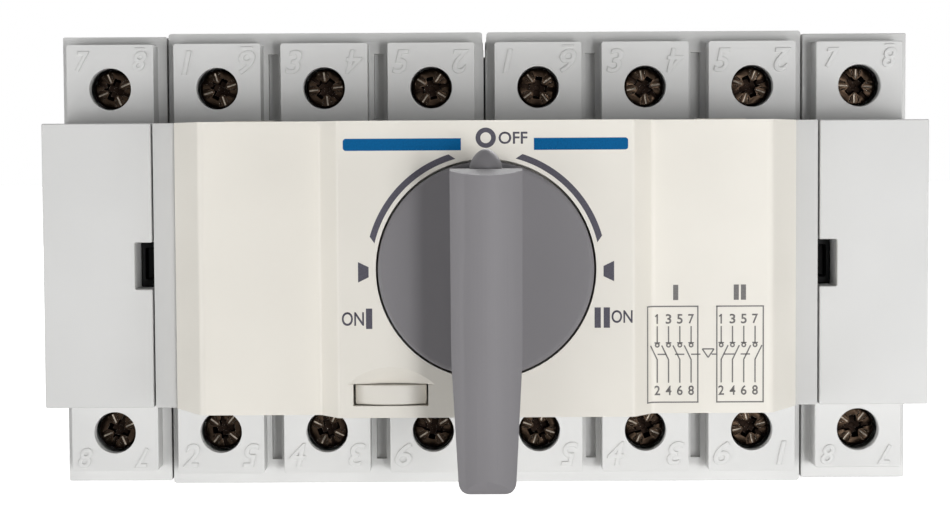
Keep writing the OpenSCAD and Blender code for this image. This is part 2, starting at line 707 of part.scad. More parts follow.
// Cream cover with the round well of the handle, the slot of the padlock tab and its finger scoop
module mechanism_cover() {
  cup_r = plate_r + plate_gap;
  inner_y = nose_h / 2 - shell + 0.2;
  color(cream) difference() {
    union() {
      difference() {
        rotate([90, 0, 0]) linear_extrude(nose_h, center = true) polygon(cover_outline(0));
        rotate([90, 0, 0]) linear_extrude(2 * inner_y, center = true) polygon(cover_outline(shell - 0.2));
      }
      translate([0, 0, cup_floor_z]) cylinder(r = cup_r + 1.4, h = panel_z - cup_floor_z - 0.5);
      translate([tab_x - tab_hole_w / 2 - 1.2, -nose_h / 2 + 0.5, tab_stop_z])
        cube([tab_hole_w + 2.4, tab_y + nose_h / 2 + scoop_h + 3.6, panel_z - 0.5 - tab_stop_z]);
    }
    translate([0, 0, cup_floor_z + cup_floor_t]) cylinder(r = cup_r, h = panel_z);
    translate([0, 0, cup_floor_z - cut]) cylinder(r = hub_r + 0.25, h = panel_z);
    translate([tab_x - tab_hole_w / 2, tab_y - tab_hole_h / 2, panel_z - 6]) cube([tab_hole_w, tab_hole_h, 10]);
    finger_scoop();
  }
  color(cream) for (s = [-1, 1])
    translate([s * 36.8 - 3.9, nose_h / 2 - cut, cover_z]) cube([7.8, cut + 0.25, 2.2]);
}

// A shallow bowl cut above the padlock tab, deepest at the tab's upper edge
module finger_scoop() {
  edge = tab_y + tab_hole_h / 2;
  ring_r = (pow(scoop_w / 2, 2) + pow(scoop_h, 2)) / (2 * scoop_h);
  run = ring_r - scoop_h;
  lift = (pow(ring_r, 2) - pow(run, 2) - pow(scoop_depth, 2)) / (2 * scoop_depth);
  intersection() {
    translate([tab_x, edge - run, panel_z + lift]) sphere(r = sqrt(pow(ring_r, 2) + pow(lift, 2)));
    translate([tab_x - scoop_w, edge - 0.1, panel_z - 5]) cube([2 * scoop_w, 3 * scoop_h, 6]);
  }
}

// Pull-out tab with a bowed face and an oblong hole for a padlock
module lock_tab() {
  front = panel_z - 0.1;
  bow = 1.2;
  bow_r = (pow(tab_w / 2, 2) + pow(bow, 2)) / (2 * bow);
  color(cream) translate([tab_x, tab_y, 0]) difference() {
    union() {
      intersection() {
        translate([-tab_w / 2, -tab_t / 2, tab_foot_z]) cube([tab_w, tab_t, front - tab_foot_z]);
        translate([0, 0, front - bow_r]) rotate([90, 0, 0]) cylinder(r = bow_r, h = tab_t + 2, center = true, $fn = 96);
      }
      translate([-tab_w / 2 - 1, -tab_t / 2, tab_foot_z]) cube([tab_w + 2, tab_t, tab_foot_t]);
    }
    translate([0, 0, front - 4.2]) rotate([90, 0, 0]) linear_extrude(tab_t + 2, center = true)
      polygon(rounded(mirrored([[3.5, -1.95, 1.9], [3.5, 1.95, 1.9]])));
  }
}

// Handle: a round plate with a hub, and a long grip that narrows below the plate
module handle() {
  under = panel_z + 5;
  back_z = cup_floor_z + cup_floor_t + 0.5;
  arch_z = grip_z - arch_r;
  color(handle_grey) difference() {
    union() {
      rotate_extrude($fn = 128) polygon(rounded([[0, back_z, 0], [plate_r, back_z, 0],
        [plate_r, handle_z, 0.8], [0, handle_z, 0]]));
      translate([0, 0, gear_z + gear_h + 0.1]) cylinder(r = hub_r, h = back_z - gear_z - gear_h);
      intersection() {
        translate([0, 0, handle_z - 1]) linear_extrude(grip_z - handle_z + 2) polygon(rounded(mirrored([
          [grip_end_w / 2, -grip_reach, 1.7], [grip_w / 2 - 0.12, -12, 40], [grip_w / 2, plate_r + 1, 0]])));
        rotate([90, 0, 90]) linear_extrude(grip_w + 2, center = true) polygon(rounded([
          [grip_end_y, handle_z - 0.5, 0], [grip_end_y, grip_z - 3.2, 0], [grip_end_y - 1, grip_z + 0.5, 0],
          [-grip_reach + 3, grip_z + 0.5, 0], [-grip_reach - 0.3, grip_z - 1.2, 1.8],
          [-grip_reach - 0.3, under + 3, 1.5], [-plate_r - 1.2, under, 2],
          [-plate_r + 0.6, handle_z - 0.5, 0]]));
        union() {
          translate([0, 0, arch_z]) rotate([90, 0, 0])
            cylinder(r = arch_r, h = 3 * grip_reach, center = true, $fn = 96);
          translate([-arch_r + 0.8, -2 * grip_reach, arch_z - 40])
            cube([2 * arch_r - 1.6, 4 * grip_reach, 42]);
        }
      }
    }
    translate([0, 0, gear_z]) cube([shaft_w + 0.1, shaft_w + 0.1, 2 * shaft_reach], center = true);
  }
}
shaft_reach = 11;

// Rounded cone on the end of the grip that points at the marks
module pointer() {
  color("#8d888f") translate([0, grip_end_y, grip_z - 7]) rotate([-90, 0, 0]) rotate_extrude()
    polygon(rounded([[0, 0, 0], [2.35, 0, 0], [2.3, 0.9, 1], [0.3, 2.9, 0.4], [0, 2.9, 0]]));
}

module handle_shaft() {
  color("#a7a9ab") {
    translate([0, 0, cover_z + 0.1]) cylinder(r = journal_r, h = plate_t + 0.1);
    translate([-shaft_w / 2, -shaft_w / 2, cam_z]) cube([shaft_w, shaft_w, gear_z + shaft_reach - cam_z - 0.1]);
  }
}

notch_w = 3.6;               // side of the square notches that the detent spring drops into

// Gear under the handle, in one piece with the cam of the three stops
module drive_gear() {
  color("#b7b3a4") difference() {
    union() {
      translate([0, 0, gear_z - 0.5]) linear_extrude(gear_h + 0.5) gear_outline(gear_module, gear_teeth);
      translate([0, 0, cam_z]) difference() {
        cylinder(r = cam_r, h = gear_z - cam_z - 0.3);
        for (a = [180, 270, 360]) rotate(a) translate([cam_r + notch_w / 4, 0, -cut])
          rotate(45) translate([-notch_w / 2, -notch_w / 2, 0]) cube([notch_w, notch_w, gear_z - cam_z + cut]);
      }
    }
    translate([0, 0, gear_z]) cube([shaft_w + 0.05, shaft_w + 0.05, 4 * gear_h], center = true);
  }
}

// Toothed bar that turns both rotors with the handle
module transfer_rack() {
  root_y = gear_r + dedendum(gear_module);
  color("#8e9499") translate([0, root_y, gear_z + 0.05]) linear_extrude(rack_h) {
    translate([-rack_end, 0]) square([2 * rack_end, rack_t]);
    rack_teeth(gear_module, rack_end);
  }
}

module pan_screw(r, length, head_r, head_t) {
  color("#9a9c9f") difference() {
    union() {
      translate([0, 0, -length]) cylinder(r = r, h = length + 0.1);
      cylinder(r = head_r, h = head_t);
    }
    for (a = [0, 90]) rotate(a) translate([0, 0, head_t]) cube([1.3 * head_r, 0.6, 1.4], center = true);
  }
}

module mechanism_screws() {
  for (s = [-1, 1]) for (x = [plate_screw_x, plate_screw_in]) for (y = [-1, 1])
    translate([s * x, y * plate_screw_y, cover_z + plate_t]) pan_screw(plate_screw_r, plate_screw_l, 2.5, 1.6);
}

module rear_screws(n) {
  screw_places(n) translate([0, 0, rear_z + screw_sink]) mirror([0, 0, 1])
    pan_screw(housing_screw_r, housing_screw_l, housing_head_r, 1.6);
}

// The eight poles in a row, with the jaws on the side that the carriage closes towards
module all_poles() {
  for (i = [0:3]) {
    translate([-(i + 0.5) * pole_pitch, 0, 0]) children();
    translate([(i + 0.5) * pole_pitch, 0, 0]) mirror([1, 0, 0]) children();
  }
}
module lower_end() { mirror([0, 1, 0]) children(); }
module four_bars() {
  for (i = [-2:1]) translate([i * pole_pitch, 0, 0]) children();
}

module housing_screws() {
  left_unit(switch_x) rear_screws(main_poles);
  right_unit(switch_x) rear_screws(main_poles);
  left_unit(extra_x) rear_screws(1);
  right_unit(extra_x) rear_screws(1);
}

left_unit(switch_x) tray(main_poles, switch_h, true);  // base_left
right_unit(switch_x) tray(main_poles, switch_h, true);  // base_right
left_unit(switch_x) contact_housing(main_poles, switch_h);  // housing_left
right_unit(switch_x) contact_housing(main_poles, switch_h);  // housing_right
left_unit(switch_x) front_shell(main_poles, switch_h, upper_step);  // front_left
right_unit(switch_x) front_shell(main_poles, switch_h, upper_step);  // front_right
left_unit(switch_x) nose_cap(main_poles);  // nose_left
right_unit(switch_x) nose_cap(main_poles);  // nose_right
left_unit(extra_x) tray(1, extra_h, false);  // extra_base_left
right_unit(extra_x) tray(1, extra_h, false);  // extra_base_right
left_unit(extra_x) contact_housing(1, extra_h);  // extra_housing_left
right_unit(extra_x) contact_housing(1, extra_h);  // extra_housing_right
left_unit(extra_x) front_shell(1, extra_h, extra_upper_step);  // extra_front_left
right_unit(extra_x) front_shell(1, extra_h, extra_upper_step);  // extra_front_right
left_unit(extra_x) nose_cap(1);  // extra_nose_left
right_unit(extra_x) nose_cap(1);  // extra_nose_right
left_unit(extra_x) joining_clip();  // joining_clip_left
right_unit(extra_x) joining_clip();  // joining_clip_right
housing_screws();
upright() all_poles() terminal_screw();  // terminal_screws_upper
upright() lower_end() all_poles() terminal_screw();  // terminal_screws_lower
upright() all_poles() clamp_cage();  // terminal_cages_upper
upright() lower_end() all_poles() clamp_cage();  // terminal_cages_lower
upright() all_poles() fixed_contact();  // fixed_contacts_upper
upright() lower_end() all_poles() fixed_contact();  // fixed_contacts_lower
upright() all_poles() arc_plates();  // arc_plates_upper
upright() lower_end() all_poles() arc_plates();  // arc_plates_lower
upright() mechanism_base();
upright() mechanism_cover();
upright() mechanism_screws();
upright() detent_spring();
upright() handle();
upright() pointer();
upright() handle_shaft();
upright() drive_gear();
upright() transfer_rack();
left_unit(switch_x) rotor();  // rotor_left
right_unit(switch_x) rotor();  // rotor_right
left_unit(switch_x) rotor_gear(-switch_x);  // rotor_gear_left
upright() translate([switch_x, 0, 0]) rotor_gear(switch_x);  // rotor_gear_right
left_unit(switch_x) snap_spring();  // snap_spring_left
right_unit(switch_x) snap_spring();  // snap_spring_right
left_unit(switch_x) carriage();  // carriage_left
right_unit(switch_x) carriage();  // carriage_right
left_unit(extra_x) extra_carriage();  // extra_carriage_left
right_unit(extra_x) extra_carriage();  // extra_carriage_right
left_unit(switch_x) coupling_pin();  // coupling_pin_left
right_unit(switch_x) coupling_pin();  // coupling_pin_right
left_unit(switch_x) four_bars() moving_bar();  // moving_bars_left
right_unit(switch_x) four_bars() moving_bar();  // moving_bars_right
left_unit(switch_x) four_bars() bar_spring();  // bar_springs_left
right_unit(switch_x) four_bars() bar_spring();  // bar_springs_right
upright() lock_tab();
left_unit(switch_x) rail_latch();  // rail_latch_left
right_unit(switch_x) rail_latch();  // rail_latch_right
left_unit(switch_x) latch_spring();  // latch_spring_left
right_unit(switch_x) latch_spring();  // latch_spring_right
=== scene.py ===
"""Looks of a rail-mounted changeover switch: moulded housings, cover, handle, screws and printed marks."""

import json
import math

import bmesh
import bpy
from mathutils import Euler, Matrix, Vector

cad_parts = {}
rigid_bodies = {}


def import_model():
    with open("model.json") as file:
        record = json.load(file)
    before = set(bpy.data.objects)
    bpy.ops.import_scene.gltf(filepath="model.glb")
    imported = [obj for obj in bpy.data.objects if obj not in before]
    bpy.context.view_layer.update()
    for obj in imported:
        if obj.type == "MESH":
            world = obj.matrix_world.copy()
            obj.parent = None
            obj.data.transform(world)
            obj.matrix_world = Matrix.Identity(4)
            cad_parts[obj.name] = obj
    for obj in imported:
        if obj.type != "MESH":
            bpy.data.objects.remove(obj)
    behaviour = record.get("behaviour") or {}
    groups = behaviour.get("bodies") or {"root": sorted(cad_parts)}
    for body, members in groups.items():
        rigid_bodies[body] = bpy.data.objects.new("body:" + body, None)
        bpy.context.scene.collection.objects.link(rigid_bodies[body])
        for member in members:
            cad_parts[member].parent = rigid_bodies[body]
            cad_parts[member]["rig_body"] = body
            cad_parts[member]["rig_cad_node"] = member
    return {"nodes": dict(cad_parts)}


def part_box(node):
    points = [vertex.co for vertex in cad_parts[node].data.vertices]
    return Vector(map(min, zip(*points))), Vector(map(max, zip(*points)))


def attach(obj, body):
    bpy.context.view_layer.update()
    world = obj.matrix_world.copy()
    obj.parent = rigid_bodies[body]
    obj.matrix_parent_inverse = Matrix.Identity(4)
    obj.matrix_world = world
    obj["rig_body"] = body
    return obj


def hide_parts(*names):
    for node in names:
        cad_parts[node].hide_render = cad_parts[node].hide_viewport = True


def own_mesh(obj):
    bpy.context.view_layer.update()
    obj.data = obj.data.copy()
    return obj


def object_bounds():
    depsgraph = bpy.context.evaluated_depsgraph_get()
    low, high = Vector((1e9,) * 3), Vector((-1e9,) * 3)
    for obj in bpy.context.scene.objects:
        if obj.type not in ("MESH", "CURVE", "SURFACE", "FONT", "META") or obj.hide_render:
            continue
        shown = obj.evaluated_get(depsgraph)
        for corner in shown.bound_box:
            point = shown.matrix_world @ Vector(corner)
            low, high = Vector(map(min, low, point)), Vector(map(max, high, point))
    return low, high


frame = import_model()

bl_info = {
    "name": "Changeover switch",
    "version": (1, 0, 0),
    "blender": (4, 5, 0),
    "location": "View3D > Sidebar > Switch",
    "description": "Builds the visible pieces and finishes of a rail-mounted changeover switch",
    "category": "Object",
}

MM = 0.001
SIDES, ROWS = ("left", "right"), ("upper", "lower")
CAD_BOX = [list(corner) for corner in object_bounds()]

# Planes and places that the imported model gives
PANEL_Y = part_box("mechanism_cover")[0].y
PRINT_Y = PANEL_Y - 1 * MM    # where ink is drawn, before it is laid on the cover
BLOCK_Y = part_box("front_left")[0].y
SCREW_LOW, SCREW_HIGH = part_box("terminal_screws_upper")
HEAD_Y = SCREW_LOW.y
SCREW_Z = (SCREW_LOW.z + SCREW_HIGH.z) / 2

# Measures that the part's source has too
POLES, POLE_PITCH = 8, 17.5 * MM

# Tolerances
CAD_WELD, WELD = 0.001 * MM, 0.002 * MM    # points of CAD and of new pieces that lie closer are one
CLOSE = 0.01 * MM    # a face or point within this of a level lies on it
FACING = 0.9    # a face whose normal has at least this share along an axis faces along it
FLAT_BEND = math.radians(0.5)    # faces that meet at less than this are one flat face
FACE_WEIGHT = 60    # how far large faces pull the shading of the rounded edges beside them


def linear(hex_colour):
    """A colour written as sRGB hex, as linear red, green, blue and alpha."""
    channels = [int(hex_colour[i:i + 2], 16) / 255 for i in (1, 3, 5)]
    return tuple(c / 12.92 if c <= 0.04045 else ((c + 0.055) / 1.055) ** 2.4 for c in channels) + (1.0,)


def mm(*values):
    """Measures written in millimetres, as lengths in the scene."""
    return [value * MM for value in values]


def pole_x(index):
    """Middle of a pole, counted from the left."""
    return (index - (POLES - 1) / 2) * POLE_PITCH


# Sizes and colours that a user would change

class SwitchSizes(bpy.types.PropertyGroup):
    """Real sizes of the small features."""

    housing_edge: bpy.props.FloatProperty(
        name="Housing edge", description="Radius of the moulded edges of housings and noses",
        default=0.22 * MM, min=0.05 * MM, max=0.5 * MM, unit="LENGTH", precision=5)
    cover_edge: bpy.props.FloatProperty(
        name="Cover edge", description="Radius of the edges of the cover",
        default=0.20 * MM, min=0.05 * MM, max=0.6 * MM, unit="LENGTH", precision=5)
    grip_edge: bpy.props.FloatProperty(
        name="Grip edge", description="Radius of the edges of the grip",
        default=0.45 * MM, min=0.1 * MM, max=1.0 * MM, unit="LENGTH", precision=5)
    numeral_height: bpy.props.FloatProperty(
        name="Numeral height", description="Height of the raised numerals on the terminal blocks",
        default=3.95 * MM, min=2 * MM, max=5 * MM, unit="LENGTH", precision=5)
    numeral_rise: bpy.props.FloatProperty(
        name="Numeral rise", description="How far the numerals stand off the terminal blocks",
        default=0.29 * MM, min=0.05 * MM, max=0.4 * MM, unit="LENGTH", precision=5)
    ink: bpy.props.FloatProperty(
        name="Ink", description="Thickness of the printed marks",
        default=0.02 * MM, min=0.01 * MM, max=0.1 * MM, unit="LENGTH", precision=5)
    slot_width: bpy.props.FloatProperty(
        name="Slot width", description="Width of the slot across a terminal screw",
        default=0.7 * MM, min=0.5 * MM, max=1.4 * MM, unit="LENGTH", precision=5)


class SwitchColours(bpy.types.PropertyGroup):
    """Base colours of the finishes."""

    housing: bpy.props.FloatVectorProperty(
        name="Housing", description="Light grey of the housings", subtype="COLOR", size=4,
        default=linear("#D4D4D3"), min=0, max=1)
    cover: bpy.props.FloatVectorProperty(
        name="Cover", description="Cream of the cover and tab", subtype="COLOR", size=4,
        default=linear("#E7E3DA"), min=0, max=1)
    handle: bpy.props.FloatVectorProperty(
        name="Handle", description="Grey of the handle", subtype="COLOR", size=4,
        default=linear("#7F7D80"), min=0, max=1)
    ink_blue: bpy.props.FloatVectorProperty(
        name="Blue ink", description="Blue of the two bars", subtype="COLOR", size=4,
        default=linear("#025C93"), min=0, max=1)
    ink_grey: bpy.props.FloatVectorProperty(
        name="Grey ink", description="Dark grey of the position marks", subtype="COLOR", size=4,
        default=linear("#5B5963"), min=0, max=1)


class SwitchSettings(bpy.types.PropertyGroup):
    """All settings of the switch."""

    sizes: bpy.props.PointerProperty(
        type=SwitchSizes, name="Sizes", description="Real sizes of small features")
    colours: bpy.props.PointerProperty(
        type=SwitchColours, name="Colours", description="Base colours")


def settings():
    """The scene's settings."""
    return bpy.context.scene.switch


# Objects and editing

def deselect():
    """Deselects every object, before a new one is added."""
    bpy.ops.object.select_all(action="DESELECT")


def only(*objects):
    """Selects just these objects, the first of them active."""
    deselect()
    for item in objects:
        item.select_set(True)
    bpy.context.view_layer.objects.active = objects[0]


def edit_select(item, mode, test):
    """In edit mode, selects the vertices or faces of an object that pass a test."""
    bpy.ops.mesh.select_mode(type=mode)
    bpy.ops.mesh.select_all(action="DESELECT")
    shape = bmesh.from_edit_mesh(item.data)
    for element in shape.verts if mode == "VERT" else shape.faces:
        element.select_set(test(element))
    shape.select_flush_mode()
    bmesh.update_edit_mesh(item.data)


def open_mesh(item):
    """Starts editing an object's mesh, with all of it selected."""
    only(item)
    bpy.ops.object.mode_set(mode="EDIT")
    bpy.ops.mesh.select_all(action="SELECT")


def close_mesh():
    """Ends the editing."""
    bpy.ops.object.mode_set(mode="OBJECT")


def weld(distance):
    """In edit mode, merges points that lie closer together than a distance."""
    bpy.ops.mesh.select_all(action="SELECT")
    bpy.ops.mesh.remove_doubles(threshold=distance)


def modify(item, kind, **options):
    """Adds a modifier to an object and applies it."""
    only(item)
    modifier = item.modifiers.new(kind.title(), kind)
    for name, value in options.items():
        setattr(modifier, name, value)
    bpy.ops.object.modifier_apply(modifier=modifier.name)
    return item


def settle(item):
    """Puts an object's place into its mesh, so that the object sits at the origin."""
    only(item)
    bpy.ops.object.transform_apply(location=True, rotation=True, scale=True)
    return item


def join(name, items):
    """Joins objects into one with a name."""
    only(*items)
    if len(items) > 1:
        bpy.ops.object.join()
    joined = bpy.context.object
    joined.name = name
    joined.data.name = name
    return joined


def clean_mesh(item):
    """Merges doubled points and turns all faces outwards."""
    open_mesh(item)
    weld(WELD)
    bpy.ops.mesh.normals_make_consistent(inside=False)
    close_mesh()
    return item


def paint(item, material):
    """Gives an object one material."""
    item.data.materials.clear()
    item.data.materials.append(material)


def smooth(item, degrees=40):
    """Shades an object smooth up to an angle between its faces."""
    only(item)
    bpy.ops.object.shade_smooth_by_angle(angle=math.radians(degrees))
    return item


def merged_copy(node, ending):
    """A copy of a CAD piece with its loose triangles merged, and the body that it rides on."""
    only(frame["nodes"][node])
    bpy.ops.object.duplicate()
    piece = bpy.context.object
    body = piece.pop("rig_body")
    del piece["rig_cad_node"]
    piece.parent = None
    piece.name = f"{node}_{ending}"
    piece.data.name = piece.name
    open_mesh(piece)
    weld(CAD_WELD)
    close_mesh()
    return piece, body


def mark_cuts(piece):
    """Cuts a piece at its poles' middles, between poles and at half height.

    No flat face then goes round a hole.
    """
    across = [corner[0] for corner in piece.bound_box]
    places = [x for x in (pole_x(index / 2) for index in range(2 * POLES)) if min(across) < x < max(across)]
    cuts = [((x, 0, 0), (1, 0, 0)) for x in places] + [((0, 0, 0), (0, 0, 1))]
    for place, normal in cuts:
        bpy.ops.mesh.select_all(action="SELECT")
        bpy.ops.mesh.bisect(plane_co=place, plane_no=normal)
        bpy.ops.mesh.mark_seam(clear=False)


def softened(node, radius, material, segments=2, least_bend=28):
    """Replaces a rigid piece by a copy with its hard edges rounded as a mould leaves them.

    An edge counts as hard when its faces meet at least_bend degrees or more.
    """
    piece, body = merged_copy(node, "moulded")
    open_mesh(piece)
    mark_cuts(piece)
    bpy.ops.mesh.select_all(action="SELECT")
    bpy.ops.mesh.dissolve_limited(angle_limit=FLAT_BEND, delimit={"SEAM"})
    close_mesh()
    modify(piece, "BEVEL", width=radius, segments=segments, limit_method="ANGLE",
           angle_limit=math.radians(least_bend), miter_outer="MITER_ARC")
    smooth(piece)
    modify(piece, "WEIGHTED_NORMAL", keep_sharp=True, weight=FACE_WEIGHT)
    paint(piece, material)
    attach(piece, body)
    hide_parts(node)


CAPITAL_HEIGHT = 0.73    # height of a capital or numeral in the built-in letters, for size 1


def front_text(words, height, shear=0.0, turned=False, bold=0.0):
    """Words that face the front, as a flat curve object that stands centred on the origin."""
    deselect()
    bpy.ops.object.text_add(location=(0, 0, 0))
    item = bpy.context.object
    item.data.body = words
    item.data.align_x = "CENTER"
    item.data.align_y = "CENTER"
    item.data.shear = shear
    item.data.offset = bold
    item.data.resolution_u = 4
    item.data.size = height / CAPITAL_HEIGHT
    item.rotation_euler = Euler((math.pi / 2, math.pi if turned else 0.0, 0.0))
    return item


def solid_text(item):
    """Makes a text object a mesh with its rotation applied."""
    only(item)
    bpy.ops.object.convert(target="MESH")
    return settle(bpy.context.object)


def front_sheet(corners):
    """A flat sheet facing the front, from a ring of (x, z) corners."""
    deselect()
    bpy.ops.mesh.primitive_circle_add(vertices=len(corners), radius=MM, fill_type="NGON", location=(0, 0, 0))
    item = bpy.context.object
    for vertex, (x, z) in zip(item.data.vertices, corners):
        vertex.co = (x, PRINT_Y, z)
    return item


def thicken(item, thickness):
    """Extrudes a flat sheet forwards into a closed solid."""
    open_mesh(item)
    bpy.ops.mesh.extrude_region_move(TRANSFORM_OT_translate={"value": (0, -thickness, 0)})
    bpy.ops.mesh.select_all(action="SELECT")
    bpy.ops.mesh.normals_make_consistent(inside=False)
    close_mesh()


def bar(low_x, high_x, low_z, high_z):
    """An upright bar of ink."""
    return front_sheet([(low_x, low_z), (high_x, low_z), (high_x, high_z), (low_x, high_z)])


LINE = 0.2 * MM    # width of a printed line


def line(ax, az, bx, bz, width=LINE):
    """A line of ink between two points."""
    a, b = Vector((ax, az)), Vector((bx, bz))
    side = (b - a).normalized().orthogonal() * width / 2
    return front_sheet([tuple(corner) for corner in (a - side, b - side, b + side, a + side)])


ROUND_STEPS = 40    # flat steps of a printed arc or ring


def arc_band(inner, outer, start, end, slant):
    """A band of ink round the middle, its ends slanted, its angles in degrees from straight up."""
    edges = []
    for radius, cut in ((inner, 0.0), (outer, slant)):
        sweep = [math.radians(start + cut + (end - start - 2 * cut) * step / ROUND_STEPS)
                 for step in range(ROUND_STEPS + 1)]
        edges.append([(radius * math.sin(angle), radius * math.cos(angle)) for angle in sweep])
    return front_sheet(edges[0] + edges[1][::-1])


def ring(x, z, inner, outer, steps=ROUND_STEPS):
    """A ring of ink, spun from one edge."""
    deselect()
    bpy.ops.mesh.primitive_plane_add(size=MM, location=(0, 0, 0))
    item = bpy.context.object
    open_mesh(item)
    edit_select(item, "VERT", lambda v: v.co.y > 0)
    bpy.ops.mesh.delete(type="VERT")
    close_mesh()
    for vertex, radius in zip(item.data.vertices, (inner, outer)):
        vertex.co = (x + radius, PRINT_Y, z)
    open_mesh(item)
    bpy.ops.mesh.spin(steps=steps, angle=2 * math.pi, center=(x, PRINT_Y, z), axis=(0, 1, 0))
    weld(WELD)
    close_mesh()
    return item


def fit_box(item, low_x, high_x, low_z, high_z, y):
    """Stretches flat words at the origin to fill a box, and puts them on the plane y."""
    across = [v.co.x for v in item.data.vertices]
    up = [v.co.z for v in item.data.vertices]
    item.scale = ((high_x - low_x) / (max(across) - min(across)), 1, (high_z - low_z) / (max(up) - min(up)))
    item.location = (low_x - min(across) * item.scale.x, y, low_z - min(up) * item.scale.z)
    return settle(item)


INK_SPREAD = 0.035 * MM    # how far ink spreads round the outline of a letter


def print_words(words, low_x, high_x, low_z, high_z):
    """Words of ink that fill a box."""
    item = solid_text(front_text(words, high_z - low_z, bold=INK_SPREAD))
    return fit_box(item, low_x, high_x, low_z, high_z, PRINT_Y)


# Where ink is cut, so that it bends down the cover's right slope
SLOPE_CUTS = [(23.9 + 0.25 * step) * MM for step in range(14)]


def lay_on_cover(name, items, material):
    """Joins sheets of ink, lays them on the cover and its slopes, and makes them as thick as a print."""
    sheet = join(name, items)
    open_mesh(sheet)
    for place in SLOPE_CUTS:
        bpy.ops.mesh.select_all(action="SELECT")
        bpy.ops.mesh.bisect(plane_co=(place, 0, 0), plane_no=(1, 0, 0))
    close_mesh()
    modify(sheet, "SHRINKWRAP", target=bpy.data.objects["mechanism_cover_moulded"], wrap_method="PROJECT",
           use_project_y=True)
    thicken(sheet, settings().sizes.ink)
    paint(sheet, material)
    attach(sheet, "case")


# Node trees

NOISE_LOW, NOISE_HIGH = 0.3, 0.7    # noise values mostly lie between these
SINK_MM, FLOW_MM, SPECK_MM, STAIN_MM = 14, 22, 0.25, 1.6    # sizes of the patterns on a surface
SINK_DEPTH, PIT_DEPTH, SCRATCH_DEPTH = mm(0.25, 0.02, 0.01)


def add(tree, kind, inputs=None, tones=(), **options):
    """Adds a node with its settings and links.

    An input, by name or place, is a value or another node's output. Tones are a ramp's values and colours.
    """
    node = tree.nodes.new(kind)
    for name, value in options.items():
        setattr(node, name, value)
    for place, (value, colour) in enumerate(tones):
        node.color_ramp.elements[place].position = value
        node.color_ramp.elements[place].color = colour
    for name, value in (inputs or {}).items():
        if isinstance(value, bpy.types.NodeSocket):
            tree.links.new(value, node.inputs[name])
        else:
            node.inputs[name].default_value = value
    return node


def new_material(name):
    """An empty node material and its tree."""
    material = bpy.data.materials.new(name)
    material.use_nodes = True
    material.node_tree.nodes.clear()
    return material, material.node_tree


def finish_material(tree, shader):
    """Links a shader to the output."""
    add(tree, "ShaderNodeOutputMaterial", {"Surface": shader.outputs[0]})


def shade(colour, factor):
    """A linear colour made lighter or darker."""
    return tuple(min(1.0, c * factor) for c in colour[:3]) + (1.0,)


def mould_grain(tree, grain_mm, strength):
    """Bump of a spark-eroded mould, fine pits over a slow unevenness, with the place and pits it uses."""
    place = add(tree, "ShaderNodeTexCoord").outputs["Object"]
    pits = add(tree, "ShaderNodeTexNoise",
               {"Vector": place, "Scale": 1 / (grain_mm * MM), "Detail": 3.0, "Roughness": 0.6})
    sink = add(tree, "ShaderNodeTexNoise",
               {"Vector": place, "Scale": 1 / (SINK_MM * MM), "Detail": 1.0, "Roughness": 0.4})
    slow = add(tree, "ShaderNodeBump",
               {"Height": sink.outputs["Fac"], "Strength": 0.12, "Distance": SINK_DEPTH})
    fine = add(tree, "ShaderNodeBump", {"Height": pits.outputs["Fac"], "Strength": strength,
                                        "Distance": PIT_DEPTH, "Normal": slow.outputs["Normal"]})
    return place, pits, fine


def moulded_plastic(name, colour, grain_mm, strength, roughness, spread=0.05, specular=0.5):
    """Injection-moulded plastic whose colour and gloss vary a little where the melt flowed."""
    material, tree = new_material(name)
    place, pits, bump = mould_grain(tree, grain_mm, strength)
    flow = add(tree, "ShaderNodeTexNoise", {"Vector": place, "Scale": 1 / (FLOW_MM * MM), "Detail": 2.0})
    tone = add(tree, "ShaderNodeValToRGB", {"Fac": flow.outputs["Fac"]},
               [(NOISE_LOW, shade(colour, 0.965)), (NOISE_HIGH, shade(colour, 1.02))])
    gloss = add(tree, "ShaderNodeMapRange",
                {"Value": pits.outputs["Fac"], "From Min": NOISE_LOW, "From Max": NOISE_HIGH,
                 "To Min": roughness - spread, "To Max": roughness + spread})
    shader = add(tree, "ShaderNodeBsdfPrincipled",
                 {"Base Color": tone.outputs["Color"], "Roughness": gloss.outputs["Result"],
                  "Normal": bump.outputs["Normal"], "IOR": 1.5, "Specular IOR Level": specular})
    finish_material(tree, shader)
    return material


def housing_plastic():
    """Light grey glass-filled polyamide, moulded in a spark-eroded tool: even, matt, with a fine grain."""
    return moulded_plastic("polyamide_moulded_light_grey", settings().colours.housing,
                           grain_mm=0.35, strength=0.25, roughness=0.55)


def shaded_cap_plastic():
    """The same polyamide in the switches' front caps, a shade darker than the add-on poles: painted shade on
    their strips beside the cover.
    """
    return moulded_plastic("polyamide_front_cap_painted_shade", shade(settings().colours.housing, 0.87),
                           grain_mm=0.35, strength=0.25, roughness=0.55)


def tray_plastic():
    """The same polyamide in the slightly darker batch of the rear trays."""
    return moulded_plastic("polyamide_moulded_rear_tray", shade(settings().colours.housing, 0.86),
                           grain_mm=0.35, strength=0.25, roughness=0.6)


def cover_plastic():
    """Cream ABS with a satin spark-eroded grain, a little glossier than the housings."""
    return moulded_plastic("abs_moulded_cream", settings().colours.cover,
                           grain_mm=0.30, strength=0.18, roughness=0.46)


def tab_plastic():
    """Cream acetal of the sliding tab: smoother and a touch darker than the cover."""
    return moulded_plastic("acetal_moulded_cream", shade(settings().colours.cover, 0.95),
                           grain_mm=0.25, strength=0.10, roughness=0.40)


def handle_plastic():
    """Mid-grey polyamide with a soft matt grain that scatters light along the grip."""
    return moulded_plastic("polyamide_moulded_handle_grey", settings().colours.handle,
                           grain_mm=0.28, strength=0.28, roughness=0.5, spread=0.06, specular=0.2)


